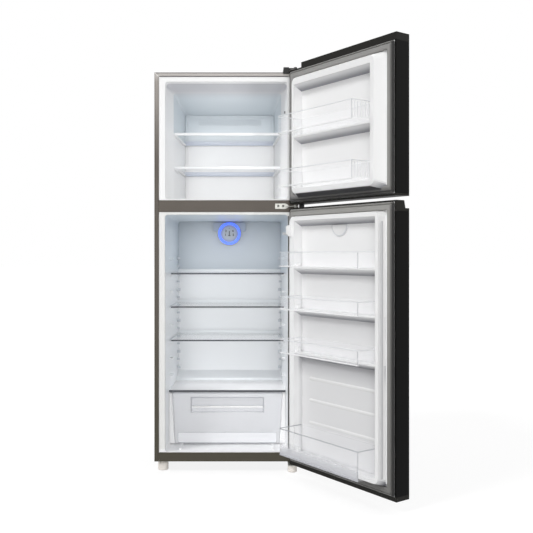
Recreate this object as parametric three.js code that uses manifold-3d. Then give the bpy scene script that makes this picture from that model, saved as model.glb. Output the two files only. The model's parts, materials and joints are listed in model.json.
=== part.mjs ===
// Top freezer refrigerator with both doors open: steel cabinet, formed liners, glass shelves,
// crisper drawer, door bins, hinges, and the cooling parts inside. Millimetres, +Z up.
// The cabinet is drawn about X = 0 with its front frame at Y = 0 and the floor at Z = 0.
import * as THREE from 'three';
import { mergeVertices } from 'three/addons/utils/BufferGeometryUtils.js';
import Module from 'manifold-3d';

const wasm = await Module();
wasm.setup();

// ---- Driving dimensions -------------------------------------------------------------------

const cabinetWidth = 600;
const cabinetHeight = 1621;
const cabinetDepth = 560;
const footHeight = 43;
const sheet = 1;                    // folded steel
const linerWall = 2;                // vacuum formed plastic
const gap = 0.3;                    // assembly clearance between two pieces

const sideStrip = 19;               // steel frame around the front of the cabinet
const topStrip = 18;
const railHeight = 37;              // rail under the fresh food compartment
const mullionHeight = 48.5;         // rail between the two compartments
const freezerFrameHeight = 515;     // between the top strip and the mullion
const channelReturn = 24;           // folded edges of both rails
const flangeTuck = 6;               // how far a liner flange reaches behind the steel

const rearInsulation = 30;          // from the freezer's back to the back of the cabinet
const coolerSpace = 56;             // between the freezer's back panel and its liner
const freezerDepth = cabinetDepth - rearInsulation;
const fridgeDepth = freezerDepth - coolerSpace;
const freezerFlange = { side: 26, top: 21, bottom: 6 };
const fridgeFlange = { side: 25, top: 11.5, bottom: 2.5 };
const funnelDepth = 144;            // lead-in of the freezer compartment
const funnelInset = { side: 22, top: 19, bottom: 5 };
const freezerBackInset = { side: 23, top: 38, bottom: 6 };
const fridgeBackInset = { side: 11, top: 9, bottom: 1.5 };
const linerCorner = 12;             // corner radius of the compartments
const dykeCorner = 24;              // corner radius of the raised door liners
const humpFoot = fridgeDepth - 139;  // where the step over the compressor begins
const humpShoulder = { y: fridgeDepth - 76, height: 245 };
const humpWall = 43;                // insulation between that step and the compressor
const humpSlope = 0.316;            // its top rises towards the back wall

const shelfFront = 148;             // distance of the shelf edges behind the front frame
const shelfBackClearance = 8;
const freezerShelfPlay = 1;         // between a shelf and each side wall
const fridgeShelfPlay = 6;
const glassThickness = 4.5;
const shelfStopHeight = 12;         // upstand at the back of a shelf
const shelfStopThickness = 4;
const freezerShelfRise = [150.5, 297.5];    // above the compartment floor
const rungPitch = 73;               // levels of the shelf supports formed in the side walls
const topFridgeShelfDrop = 246.5;   // below the ceiling of the compartment
const rungsBetweenShelves = 2;
const fridgeShelfCount = 3;
const crisperCoverRise = 235.5;
const crisperCoverFront = 120;
const rungHeight = 8;
const freezerRungReach = 9;
const fridgeRungReach = 14;
const frontRungLength = 34;
const rearRungLength = 24;

const crisperFront = 124;
const crisperBackSpace = 6;         // from the drawer to the step behind it
const crisperSideSpace = 18;        // from the drawer's rim to the mouth of the compartment
const crisperDraft = 12;            // each side draws in towards the floor
const crisperHeight = 219;
const crisperWall = 3;
const crisperRunner = 5;
const crisperPocket = { half: 157, low: 134, height: 64, depth: 24 };

const openAngle = 125.5;            // both doors, as drawn
const doorWidth = 597;
const doorThickness = 64.5;
const doorBehindPivot = 21;         // from the hinge axis to the inner face of the door
const pivotFromSide = 14;           // from the hinge axis to the side of the cabinet
const pivotForward = 33;            // from the hinge axis back to the cabinet front
const doorGap = 16;                 // between the two doors
const freezerDoorRise = 18;         // door top above the cabinet top
const freezerDoorDrop = 19;         // door bottom below the top of the mullion
const fridgeDoorDrop = 0.4;         // door bottom below the cabinet bottom
const capWall = 3;
const hingeBlock = { length: 46, height: 24 };
const skinLip = 8;
const rimStep = 1;                  // liner rim behind the lips of the door skin
const gasketInset = 9;
const gasketBand = 28;
const gasketSeat = 1.5;             // from the closed gasket to the steel of the cabinet
const notchLength = 63;             // cut in the freezer door for the top hinge
const notchDepth = 20;
const gripDepth = 22;               // step in the top of the fresh food door
const gripHeight = 27.4;

const pinRadius = 5;
const runningFit = 0.1;              // radial play of a shaft in its bore
const pinLength = 18;
const collarRadius = 9;
const bracketPlate = 3;

const ringSegments = 40;

const colours = {
  steel: [0x6f6a63, 0.45, 0.7],
  skin: [0x141414, 0.4, 0.2],
  cap: [0x1b1b1b, 0.55, 0],
  white: [0xf0f1f2, 0.35, 0],
  clear: [0xdfe6ec, 0.12, 0],
  glass: [0xcfdde2, 0.05, 0],
  rubber: [0x8a8986, 0.75, 0],
  foam: [0xe6d9a8, 0.9, 0],
  zinc: [0xb9b9b6, 0.35, 0.9],
  black: [0x101010, 0.5, 0],
  cream: [0xeee2d0, 0.6, 0],
  glow: [0x3f6bff, 0.3, 0],
  dial: [0x9aa3ae, 0.4, 0.3],
  copper: [0xb5643a, 0.35, 0.95],
  fins: [0xc9cdd0, 0.35, 0.9],
};

// ---- Heights and places worked out from the dimensions ------------------------------------

const half = cabinetWidth / 2;
const cabinetBottom = footHeight;
const cabinetTop = cabinetBottom + cabinetHeight;
const railTop = cabinetBottom + railHeight;
const mullionTop = cabinetTop - topStrip - freezerFrameHeight;
const mullionBottom = mullionTop - mullionHeight;
const flangeFront = sheet + gap;
const flangeBack = flangeFront + linerWall;

const freezerMouth = {
  y: flangeFront,
  half: half - sideStrip - freezerFlange.side,
  bottom: mullionTop + freezerFlange.bottom,
  top: cabinetTop - topStrip - freezerFlange.top,
};
const freezerThroat = inset(freezerMouth, funnelDepth, funnelInset);
const freezerBack = inset(freezerThroat, freezerDepth, freezerBackInset);

const fridgeMouth = {
  y: flangeFront,
  half: half - sideStrip - fridgeFlange.side,
  bottom: railTop + fridgeFlange.bottom,
  top: mullionBottom - fridgeFlange.top,
};
const fridgeBack = inset(fridgeMouth, fridgeDepth, fridgeBackInset);

const pivotX = half - pivotFromSide;
const pivotY = -pivotForward;
const doorHinge = doorWidth / 2 - pivotX;           // hinge edge, measured from the hinge axis
const doorFree = doorHinge - doorWidth;
const doorInner = doorBehindPivot;
const doorOuter = doorBehindPivot - doorThickness;
const doorMiddle = (doorFree + doorHinge) / 2;
const rimFace = doorInner - rimStep - gap;
const rimBack = rimFace - 2;
const gasketFace = pivotForward - gasketSeat;

const freezerDoorTop = cabinetTop + freezerDoorRise;
const freezerDoorBottom = mullionTop - freezerDoorDrop;
const fridgeDoorTop = freezerDoorBottom - doorGap;
const fridgeDoorBottom = cabinetBottom - fridgeDoorDrop;

// ---- Helpers ------------------------------------------------------------------------------

// A compartment cross-section further back, drawn in at its sides, top and bottom.
function inset(section, y, by) {
  return {
    y,
    half: section.half - by.side,
    bottom: section.bottom + by.bottom,
    top: section.top - by.top,
  };
}

function grown(section, by, backBy = 0) {
  return {
    y: section.y + backBy,
    half: section.half + by,
    bottom: section.bottom - by,
    top: section.top + by,
  };
}

// The cross-section of a tapered compartment at any depth.
function sectionAt(front, back, y) {
  const t = (y - front.y) / (back.y - front.y);
  return {
    y,
    half: THREE.MathUtils.lerp(front.half, back.half, t),
    bottom: THREE.MathUtils.lerp(front.bottom, back.bottom, t),
    top: THREE.MathUtils.lerp(front.top, back.top, t),
  };
}

function solid(geometry) {
  const bare = geometry.clone();
  bare.deleteAttribute('normal');
  bare.deleteAttribute('uv');
  const merged = mergeVertices(bare, 1e-4);
  return new wasm.Manifold(new wasm.Mesh({
    numProp: 3,
    vertProperties: merged.attributes.position.array,
    triVerts: Uint32Array.from(merged.index.array),
  }));
}

function join(first, ...others) {
  return others.reduce((whole, piece) => whole.add(piece), first);
}

function cut(first, ...others) {
  return others.reduce((whole, piece) => whole.subtract(piece), first);
}

function block([x0, x1], [y0, y1], [z0, z1]) {
  const geometry = new THREE.BoxGeometry(x1 - x0, y1 - y0, z1 - z0);
  geometry.translate((x0 + x1) / 2, (y0 + y1) / 2, (z0 + z1) / 2);
  return solid(geometry);
}

function outline(points) {
  return new THREE.Shape(points.map(([a, b]) => new THREE.Vector2(a, b)));
}

function roundedOutline([a0, a1], [b0, b1], radius) {
  const shape = new THREE.Shape();
  shape.absarc(a1 - radius, b0 + radius, radius, -Math.PI / 2, 0);
  shape.absarc(a1 - radius, b1 - radius, radius, 0, Math.PI / 2);
  shape.absarc(a0 + radius, b1 - radius, radius, Math.PI / 2, Math.PI);
  shape.absarc(a0 + radius, b0 + radius, radius, Math.PI, 1.5 * Math.PI);
  return shape;
}

function extruded(shape, length, segments) {
  return new THREE.ExtrudeGeometry(shape, { depth: length, bevelEnabled: false, curveSegments: segments });
}

// An outline in (x, z) pushed along Y.
function alongY(shape, y0, y1, segments = 4) {
  const geometry = extruded(shape, y1 - y0, segments);
  geometry.rotateX(Math.PI / 2);
  geometry.translate(0, y1, 0);
  return solid(geometry);
}

// An outline in (y, z) pushed along X.
function alongX(shape, x0, x1, segments = 4) {
  const geometry = extruded(shape, x1 - x0, segments);
  const turn = new THREE.Matrix4().makeBasis(
    new THREE.Vector3(0, 1, 0), new THREE.Vector3(0, 0, 1), new THREE.Vector3(1, 0, 0));
  geometry.applyMatrix4(turn);
  geometry.translate(x0, 0, 0);
  return solid(geometry);
}

// An outline in (x, y) pushed along Z.
function alongZ(shape, z0, z1, segments = 4) {
  const geometry = extruded(shape, z1 - z0, segments);
  geometry.translate(0, 0, z0);
  return solid(geometry);
}

// A rod between two points.
function rod(radius, from, to, segments = 20) {
  const start = new THREE.Vector3(...from);
  const end = new THREE.Vector3(...to);
  const geometry = new THREE.CylinderGeometry(radius, radius, start.distanceTo(end), segments);
  const direction = end.clone().sub(start).normalize();
  geometry.applyQuaternion(new THREE.Quaternion().setFromUnitVectors(new THREE.Vector3(0, 1, 0), direction));
  const middle = start.add(end).multiplyScalar(0.5);
  geometry.translate(middle.x, middle.y, middle.z);
  return solid(geometry);
}

function upright(radius, { x, y }, z0, z1, segments = 28) {
  return rod(radius, [x, y, z0], [x, y, z1], segments);
}

// A round bar or pipe bent along a path of points.
function bentRod(radius, points, steps, sides = 8) {
  const path = new THREE.CatmullRomCurve3(points.map((point) => new THREE.Vector3(...point)));
  const circle = new THREE.Shape();
  circle.absarc(0, 0, radius, 0, 2 * Math.PI);
  return solid(new THREE.ExtrudeGeometry(circle, { steps, extrudePath: path, curveSegments: sides / 2 }));
}

// A body of revolution about +Z from (radius, z) pairs.
function turned(profile, x, y, segments = 24) {
  const geometry = new THREE.LatheGeometry(profile.map(([r, z]) => new THREE.Vector2(r, z)), segments);
  geometry.rotateX(Math.PI / 2);
  geometry.translate(x, y, 0);
  return solid(geometry);
}

// A box with rounded long edges that runs between two cross-sections and tapers straight.
function tapered(front, back, radius = linerCorner, segments = 3) {
  const shape = roundedOutline([-front.half, front.half], [front.bottom, front.top], radius);
  const geometry = extruded(shape, back.y - front.y, segments);
  geometry.rotateX(Math.PI / 2);
  geometry.translate(0, back.y, 0);
  const place = geometry.attributes.position;
  const frontHeight = front.top - front.bottom;
  const backHeight = back.top - back.bottom;
  for (let i = 0; i < place.count; i += 1) {
    const t = (place.getY(i) - front.y) / (back.y - front.y);
    const wide = THREE.MathUtils.lerp(1, back.half / front.half, t);
    const share = (place.getZ(i) - front.bottom) / frontHeight;
    place.setX(i, place.getX(i) * wide);
    place.setZ(i, THREE.MathUtils.lerp(place.getZ(i), back.bottom + share * backHeight, t));
  }
  return solid(geometry);
}

const root = new THREE.Group();

function addNode(name, manifold, [colour, roughness, metalness], parent = root) {
  const result = manifold.getMesh();
  const geometry = new THREE.BufferGeometry();
  geometry.setAttribute('position', new THREE.BufferAttribute(result.vertProperties, 3));
  geometry.setIndex(new THREE.BufferAttribute(result.triVerts, 1));
  geometry.computeVertexNormals();
  const material = new THREE.MeshStandardMaterial({ color: colour, roughness, metalness });
  const mesh = new THREE.Mesh(geometry, material);
  mesh.name = name;
  parent.add(mesh);
}

// ---- Steel cabinet ------------------------------------------------------------------------

const inside = half - sheet - gap;          // half-width inside the steel sides
const stripEdge = half - sideStrip;
const compartment = {                       // space for the compressor at the bottom rear
  front: humpFoot + humpWall,
  lean: 54,
  top: fridgeMouth.bottom + humpShoulder.height - humpWall,
  shelf: cabinetBottom + 15,
};

function cabinetShell() {
  const wrap = outline([
    [-half, cabinetBottom], [-half, cabinetTop], [half, cabinetTop], [half, cabinetBottom],
    [half - sheet, cabinetBottom], [half - sheet, cabinetTop - sheet],
    [sheet - half, cabinetTop - sheet], [sheet - half, cabinetBottom],
  ]);
  const frame = outline([
    [-half, cabinetBottom], [-half, cabinetTop], [half, cabinetTop], [half, cabinetBottom],
    [stripEdge, cabinetBottom], [stripEdge, cabinetTop - topStrip],
    [-stripEdge, cabinetTop - topStrip], [-stripEdge, cabinetBottom],
  ]);
  return join(alongY(wrap, 0, cabinetDepth), alongY(frame, 0, sheet));
}

// A steel channel across the front, open to the back.
function frontChannel(bottom, top) {
  const profile = outline([
    [0, bottom], [0, top], [channelReturn, top], [channelReturn, top - sheet],
    [sheet, top - sheet], [sheet, bottom + sheet], [channelReturn, bottom + sheet], [channelReturn, bottom],
  ]);
  return alongX(profile, gap - stripEdge, stripEdge - gap);
}

const roller = { radius: 18, width: 20, x: half - 60, y: cabinetDepth - 40, axle: 4, ear: 2, earGap: 1 };

const leftFoot = { x: 33 - half, y: 39, radius: 22 };
const rightFoot = { x: half - 25, y: 5, radius: 19.5 };
const stud = 5;
const drain = { x: 60, y: freezerDepth - 12, radius: 8, wall: 1.5 };

// Front floor, step over the compressor space and the shelf that carries the compressor.
function basePan() {
  const floor = cabinetBottom;
  const start = channelReturn + gap;
  const { front, lean, top, shelf } = compartment;
  const back = cabinetDepth - sheet - 2 * gap;
  const step = outline([
    [start, floor], [start, floor + sheet], [front - sheet, floor + sheet], [front + lean - sheet, top],
    [back, top], [back, top - sheet], [front + lean, top - sheet], [front, floor],
  ]);
  let pan = alongX(step, -inside, inside);
  const drainHole = upright(drain.radius + gap, drain, top - 5, top + 5);
  const footHole = upright(stud + runningFit, leftFoot, floor - 5, floor + 5);
  pan = cut(pan, drainHole, footHole);
  pan = join(pan, block([-inside, inside], [front + 3.2, back - 12], [shelf, shelf + 2]));
  for (const side of [-1, 1]) {
    const x = side * roller.x;
    const reach = roller.width / 2 + roller.earGap;
    for (const face of [-1, 1]) {
      const near = x + face * reach;
      const far = near + face * roller.ear;
      const across = [Math.min(near, far), Math.max(near, far)];
      const ear = block(across, [roller.y - 11, roller.y + 11], [roller.radius - 10, shelf + 1]);
      pan = join(pan, ear);
    }
    const end = reach + roller.ear / 2;
    const axleEnds = [x - end, x + end].map((at) => [at, roller.y, roller.radius]);
    pan = join(pan, rod(roller.axle, ...axleEnds, 24));
  }
  return pan;
}

function rearRoller(x) {
  const from = [x - roller.width / 2, roller.y, roller.radius];
  const to = [x + roller.width / 2, roller.y, roller.radius];
  const wheel = rod(roller.radius, from, to, 28);
  const bore = rod(roller.axle + runningFit, [from[0] - 1, from[1], from[2]], [to[0] + 1, to[1], to[2]], 24);
  return cut(wheel, bore);
}

const rearBottom = compartment.top + gap;

function rearPanel() {
  const back = cabinetDepth - gap;
  const panel = block([-inside, inside], [back - sheet, back], [rearBottom, cabinetTop - sheet - gap]);
  const ribs = [-150, 0, 150].map((x) => block(
    [x - 30, x + 30], [back - sheet / 2, back + 3], [rearBottom + 120, cabinetTop - 160]));
  return join(panel, ...ribs);
}

const inletPlace = { x: -190, z: cabinetBottom + 120, radius: 9 };

function compressorCover() {
  const back = cabinetDepth - gap;
  const bottom = compartment.shelf + 6;
  let cover = block([-inside, inside], [back - sheet, back], [bottom, compartment.top - gap]);
  const slotWidth = 8;
  const slotPitch = 22;
  for (let column = 0; column < 14; column += 1) {
    const x = -120 + column * slotPitch;
    for (const z of [bottom + 35, bottom + 105]) {
      cover = cut(cover, block([x, x + slotWidth], [back - 5, back + 5], [z, z + 50]));
    }
  }
  const { x, z, radius } = inletPlace;
  return cut(cover, rod(radius + gap, [x, back - 5, z], [x, back + 5, z], 16));
}

function powerInlet() {
  const back = cabinetDepth - gap;
  const { x, z, radius } = inletPlace;
  const body = rod(radius, [x, back - 14, z], [x, back + 4, z], 16);
  const flange = rod(radius + 5, [x, back + gap, z], [x, back + 4, z], 20);
  const socket = rod(radius - 4, [x, back - 8, z], [x, back + 8, z], 12);
  return cut(join(body, flange), socket);
}

// ---- Liners and foam ----------------------------------------------------------------------

// A short straight piece that carries a compartment's mouth through the flange of its liner.
function entry({ half: wide, bottom, top }) {
  return alongY(roundedOutline([-wide, wide], [bottom, top], linerCorner), 0, flangeFront + sheet, 3);
}

function freezerForm(by) {
  return join(
    tapered(grown(freezerMouth, by), grown(freezerThroat, by, by / 2)),
    tapered(grown(freezerThroat, by), grown(freezerBack, by, by)));
}

function fridgeForm(by) {
  const whole = tapered(grown(fridgeMouth, by), grown(fridgeBack, by, by));
  const shoulder = fridgeMouth.bottom + humpShoulder.height;
  const rise = (cabinetDepth - humpShoulder.y) * humpSlope;
  const hump = outline([
    [humpFoot + by, 0], [humpFoot + by, fridgeMouth.bottom], [humpShoulder.y + by, shoulder - by],
    [cabinetDepth, shoulder + rise - by], [cabinetDepth, 0],
  ]);
  return cut(whole, alongX(hump, -half, half));
}

// Short ribs on both side walls, trimmed to the wall's outer face.
function rungs(front, back, reach, levels, spans) {
  const outer = tapered(grown(front, linerWall), grown(back, linerWall, linerWall));
  const between = tapered(
    { ...front, half: front.half - reach, bottom: front.bottom - 50, top: front.top + 50 },
    { ...back, y: back.y + 20, half: back.half - reach, bottom: back.bottom - 50, top: back.top + 50 });
  const bars = [];
  for (const level of levels) {
    for (const span of spans) {
      bars.push(block([-half, half], span, [level - rungHeight, level]));
    }
  }
  return cut(join(...bars).intersect(outer), between);
}

const crisperHalfTop = fridgeMouth.half - crisperSideSpace;
const crisperHalfBottom = crisperHalfTop - crisperDraft;
const crisperLength = humpFoot - crisperBackSpace - crisperFront;
const freezerShelves = freezerShelfRise.map((rise) => freezerMouth.bottom + rise);
const topFridgeShelf = fridgeMouth.top - topFridgeShelfDrop;
const fridgeShelves = Array.from({ length: fridgeShelfCount },
  (_, i) => topFridgeShelf - (fridgeShelfCount - 1 - i) * rungsBetweenShelves * rungPitch);
const crisperCoverLevel = fridgeMouth.bottom + crisperCoverRise;
const coverPlane = freezerDepth - coolerSpace;      // front of the freezer's back panel
function flange(bottom, top) {
  const wide = stripEdge + flangeTuck;
  return block([-wide, wide], [flangeFront, flangeBack], [bottom, top]);
}

function freezerLiner() {
  const edge = flange(mullionTop + gap, cabinetTop - topStrip + flangeTuck);
  const shell = cut(join(edge, freezerForm(linerWall)), freezerForm(0), entry(freezerMouth));
  const ribs = rungs(freezerThroat, freezerBack, freezerRungReach,
    freezerShelves.map((z) => z - glassThickness - gap), [[shelfFront + 4, coverPlane - 20]]);
  const hole = upright(drain.radius - 2, drain, freezerBack.bottom - 20, freezerBack.bottom + 20, 16);
  return cut(join(shell, ribs), hole);
}

function fridgeLiner() {
  const edge = flange(railTop + gap, mullionBottom - gap);
  const shell = cut(join(edge, fridgeForm(linerWall)), fridgeForm(0), entry(fridgeMouth));
  const seat = glassThickness + gap;
  const levels = [];
  for (let z = topFridgeShelf + rungPitch; z > crisperCoverLevel + 3 * rungHeight; z -= rungPitch) {
    levels.push(z - seat);
  }
  const ribs = rungs(fridgeMouth, fridgeBack, fridgeRungReach, levels, [
    [shelfFront + 3, shelfFront + 3 + frontRungLength],
    [fridgeDepth - 34 - rearRungLength, fridgeDepth - 34],
  ]);
  const coverRibs = rungs(fridgeMouth, fridgeBack, freezerRungReach, [crisperCoverLevel - seat],
    [[crisperCoverFront + 4, humpShoulder.y - 14]]);
  const runners = [-1, 1].map((side) => {
    const x = side * (crisperHalfBottom - 30);
    return block([x - 6, x + 6], [40, humpFoot - 4],
      [fridgeMouth.bottom - 1, fridgeMouth.bottom + crisperRunner]);
  });
  return join(shell, ribs, coverRibs, ...runners);
}

function cabinetFoam() {
  const top = cabinetTop - sheet - gap;
  const bottom = cabinetBottom + sheet + gap;
  const back = cabinetDepth - sheet - 2 * gap;
  const body = block([-inside, inside], [flangeBack + gap, back], [bottom, top]);
  const wall = sheet + 2 * gap;
  const { front, lean } = compartment;
  const space = alongX(outline([
    [front - wall, 0], [front - wall, cabinetBottom], [front + lean - wall, compartment.top + gap],
    [cabinetDepth, compartment.top + gap], [cabinetDepth, 0],
  ]), -half, half);
  const channels = [[cabinetBottom, railTop], [mullionBottom, mullionTop]].map(([low, high]) => block(
    [-stripEdge, stripEdge], [0, channelReturn + gap], [low - 2 * gap, high + gap]));
  const tube = upright(drain.radius + gap, drain, 0, freezerBack.bottom, 16);
  const floorHoles = block([-half, half], [0, channelReturn + gap], [0, railTop + gap]);
  const clear = linerWall + gap;
  return cut(body, freezerForm(clear), fridgeForm(clear), space, ...channels, floorHoles, tube);
}

// ---- Shelves and crisper ------------------------------------------------------------------

// A glass shelf that follows the taper of its compartment, with an upstand at its back.
function shelf(front, back, [y0, y1], top, play) {
  const near = sectionAt(front, back, y0).half - play;
  const far = sectionAt(front, back, y1).half - play;
  const low = top - glassThickness;
  const plate = alongZ(outline([[-near, y0], [near, y0], [far, y1], [-far, y1]]), low, top);
  const stop = block([-far, far], [y1 - shelfStopThickness, y1], [low, top + shelfStopHeight]);
  return join(plate, stop);
}

function crisperDrawer() {
  const floor = fridgeMouth.bottom + crisperRunner + gap;
  const top = floor + crisperHeight;
  const back = crisperFront + crisperLength;
  const trough = (by, base) => alongY(outline([
    [by - crisperHalfBottom, floor + base], [crisperHalfBottom - by, floor + base],
    [crisperHalfTop - by, top + (by ? 1 : 0)], [by - crisperHalfTop, top + (by ? 1 : 0)],
  ]), crisperFront + by, back - by);
  const rim = block([-crisperHalfTop, crisperHalfTop], [crisperFront, back], [top - 4, top]);
  const rimInside = crisperHalfTop - 10;
  const rimHole = block([-rimInside, rimInside], [crisperFront + 6, back - 10], [top - 9, top + 9]);
  const { half: wide, low, height, depth } = crisperPocket;
  const pocketBottom = floor + low;
  const pocketBack = crisperFront + depth;
  const pocket = block([-wide - crisperWall, wide + crisperWall], [crisperFront, pocketBack + crisperWall],
    [pocketBottom - crisperWall, pocketBottom + height + crisperWall]);
  const recess = block([-wide, wide], [crisperFront - 1, pocketBack], [pocketBottom, pocketBottom + height]);
  const lip = block([-wide - 1, wide + 1], [crisperFront, crisperFront + 5],
    [pocketBottom + 20, pocketBottom + 26]);
  const tub = join(cut(trough(0, 0), trough(crisperWall, crisperWall)), cut(rim, rimHole));
  return join(cut(join(tub, pocket), recess), lip);
}

// ---- Cooling parts ------------------------------------------------------------------------

function evaporatorCover() {
  const section = sectionAt(freezerThroat, freezerBack, coverPlane + linerWall);
  const face = { ...section, half: section.half - 0.5, bottom: section.bottom + 0.5, top: section.top - 0.5 };
  let cover = alongY(roundedOutline([-face.half, face.half], [face.bottom, face.top], linerCorner),
    coverPlane, coverPlane + linerWall, 3);
  const slots = [];
  for (let i = -6; i <= 6; i += 1) {
    const x = i * 28;
    slots.push(block([x - 10, x + 10], [coverPlane - 4, coverPlane + 8], [face.top - 24, face.top - 17]));
    slots.push(block([x - 10, x + 10], [coverPlane - 4, coverPlane + 8], [face.bottom + 14, face.bottom + 20]));
  }
  return cut(cover, ...slots);
}

const cooler = {
  half: 185,
  bottom: freezerBack.bottom + 78,
  height: 190,
  front: coverPlane + 12,
  back: freezerDepth - gap,
};

function evaporator() {
  const finCount = 18;
  const pitch = (2 * cooler.half) / finCount;
  const top = cooler.bottom + cooler.height;
  const core = [cooler.bottom + 20, top - 20];
  const fins = [block([-cooler.half, cooler.half], [cooler.front + 12, cooler.back], core)];
  for (let i = 0; i <= finCount; i += 1) {
    const x = -cooler.half + i * pitch;
    fins.push(block([x - 1.2, x + 1.2], [cooler.front, cooler.back], [cooler.bottom, top]));
  }
  return join(...fins);
}

function defrostHeater() {
  const z = cooler.bottom - 7.5;
  const y = (cooler.front + cooler.back) / 2;
  const x = cooler.half - 20;
  return bentRod(5, [
    [-x, y, z], [-x / 2, y, z], [x / 2, y, z], [x - 15, y, z], [x, y, z - 15],
    [x - 15, y, z - 30], [x / 2, y, z - 30], [-x / 2, y, z - 30], [-x, y, z - 30]], 36);
}

const fan = {
  z: cooler.bottom + cooler.height + 72,
  radius: 55,
  hub: 16,
  shaft: 3,
  motorRadius: 30,
  motorFront: freezerDepth - 26,
  bladeFront: coverPlane + 8,
  bladeDepth: 18,
};

function fanMotor() {
  const body = rod(fan.motorRadius, [0, fan.motorFront, fan.z], [0, freezerDepth - gap, fan.z], 24);
  const shaft = rod(fan.shaft, [0, fan.bladeFront + 3, fan.z], [0, fan.motorFront + 2, fan.z], 24);
  const mount = block([-42, 42], [freezerDepth - 6, freezerDepth - gap], [fan.z - 8, fan.z + 8]);
  return join(body, shaft, mount);
}

function fanBlade() {
  const back = fan.bladeFront + fan.bladeDepth;
  let wheel = rod(fan.hub, [0, fan.bladeFront, fan.z], [0, back, fan.z], 20);
  const bladeCount = 5;
  for (let i = 0; i < bladeCount; i += 1) {
    const geometry = new THREE.BoxGeometry(fan.radius - fan.hub + 4, 2, 26);
    geometry.rotateX(0.6);
    geometry.translate((fan.radius + fan.hub) / 2 - 2, 0, 0);
    geometry.rotateY((i * 2 * Math.PI) / bladeCount);
    geometry.translate(0, (fan.bladeFront + back) / 2, fan.z);
    wheel = join(wheel, solid(geometry));
  }
  return cut(wheel, rod(fan.shaft + runningFit, [0, fan.bladeFront + 2, fan.z], [0, back + 2, fan.z], 24));
}

function drainTube() {
  const top = freezerBack.bottom - linerWall - gap - 1;
  const low = compartment.top - 14;
  return cut(upright(drain.radius, drain, low, top, 16),
    upright(drain.radius - drain.wall, drain, low - 1, top + 1, 16));
}

const compressorSize = { radius: 60, height: 134, plateLength: 190, plateWidth: 100, rearSpace: 76 };
const compressorPlace = {
  x: 100,
  y: cabinetDepth - compressorSize.rearSpace,
  z: compartment.shelf + 2 + gap,
};

function compressor() {
  const { x, y, z } = compressorPlace;
  const { radius, height, plateLength, plateWidth } = compressorSize;
  const dome = turned([
    [0, 0.03], [0.7, 0.03], [0.9, 0.15], [1, 0.33], [1, 0.72], [0.9, 0.9], [0.63, 1], [0, 1],
  ].map(([across, up]) => [across * radius, z + up * height]), x, y, 28);
  const plate = block([x - plateLength / 2, x + plateLength / 2], [y - plateWidth / 2, y + plateWidth / 2],
    [z, z + height / 22]);
  const terminals = block([x - radius * 1.4, x - radius * 0.85], [y - radius * 0.4, y + radius * 0.4],
    [z + height * 0.3, z + height * 0.7]);
  return join(dome, plate, terminals);
}

const trayBottom = compressorPlace.z + compressorSize.height + gap;

function dripTray() {
  const { x, y } = compressorPlace;
  const wide = compressorSize.plateLength / 2;
  const deep = compressorSize.radius - linerWall;
  const wall = 2.5;
  const tray = block([x - wide, x + wide], [y - deep, y + deep], [trayBottom, trayBottom + 24]);
  return cut(tray, block([x - wide + wall, x + wide - wall], [y - deep + wall, y + deep - wall],
    [trayBottom + wall, trayBottom + 30]));
}

const drier = { x: -60, y: cabinetDepth - 82, bottom: compartment.shelf + 2 + gap, height: 110, radius: 11 };

function filterDrier() {
  const { x, y, bottom, height, radius } = drier;
  const body = turned([
    [0, bottom + 18], [4, bottom + 18], [radius, bottom + 28], [radius, bottom + height - 12],
    [4, bottom + height], [0, bottom + height],
  ], x, y, 16);
  const clip = block([x - 8, x + 8], [y - 16, y + 16], [bottom, bottom + 3]);
  const post = block([x - 8, x + 8], [y + 9, y + 16], [bottom, bottom + 60]);
  return join(body, clip, post);
}

function dischargePipe() {
  const { x, y, z } = compressorPlace;
  const start = x - compressorSize.radius - gap;
  const bend = z + compressorSize.height * 0.82;
  const end = drier.bottom + drier.height + 3 * gap;
  return bentRod(3.5, [
    [start - 2, y, bend - 8], [start - 14, y, bend - 4], [start - 34, y, bend + 10],
    [drier.x + 12, drier.y + 8, end + 22], [drier.x + 2, drier.y, end + 12], [drier.x, drier.y, end]], 30);
}

// ---- Light hub, dial and switch in the fresh food compartment -----------------------------

const hub = {
  z: fridgeMouth.top - 66,
  ringOuter: 53.5,
  ringInner: 41.5,
  dial: 31.5,
  spindle: 4,
  panelHalf: 77.5,
};
const hubBack = fridgeDepth - gap;
const hubFace = hubBack - 22;

function airDuct() {
  const ceiling = sectionAt(fridgeMouth, fridgeBack, hubFace + 6).top - 4;
  const face = roundedOutline([-hub.panelHalf, hub.panelHalf], [hub.z + 12, ceiling], 6);
  const panel = alongY(face, hubFace + 6, hubBack);
  const disc = rod(hub.ringOuter, [0, hubFace, hub.z], [0, hubBack, hub.z], ringSegments);
  const spindle = rod(hub.spindle, [0, hubFace - 8, hub.z], [0, hubFace + 2, hub.z], 24);
  return join(panel, disc, spindle);
}

function lightRing() {
  const front = hubFace - gap - 9;
  const ring = rod(hub.ringOuter, [0, front, hub.z], [0, hubFace - gap, hub.z], ringSegments);
  return cut(ring, rod(hub.ringInner, [0, front - 1, hub.z], [0, hubFace + 1, hub.z], ringSegments));
}

function controlDial() {
  const front = hubFace - gap - 12;
  const disc = rod(hub.dial, [0, front, hub.z], [0, hubFace - gap, hub.z], 32);
  const grip = block([-3, 3], [front - 4, front + 1], [hub.z - 24, hub.z + 24]);
  return cut(join(disc, grip), rod(hub.spindle + runningFit, [0, hubFace - 8 - gap, hub.z],
    [0, hubFace + 1, hub.z], 24));
}

const lug = { reach: 59, low: fridgeMouth.top - 93, high: fridgeMouth.top - 46, near: 38, far: 47 };
const lugTip = pivotY + doorInner + lug.reach;      // where the lug stands with the door closed
const switchBody = { y: lugTip + 12, length: 30, z: lug.low + 16, half: 6 };
const plungerRadius = 4;
const plungerX = pivotX - (lug.near + lug.far) / 2;

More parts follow.
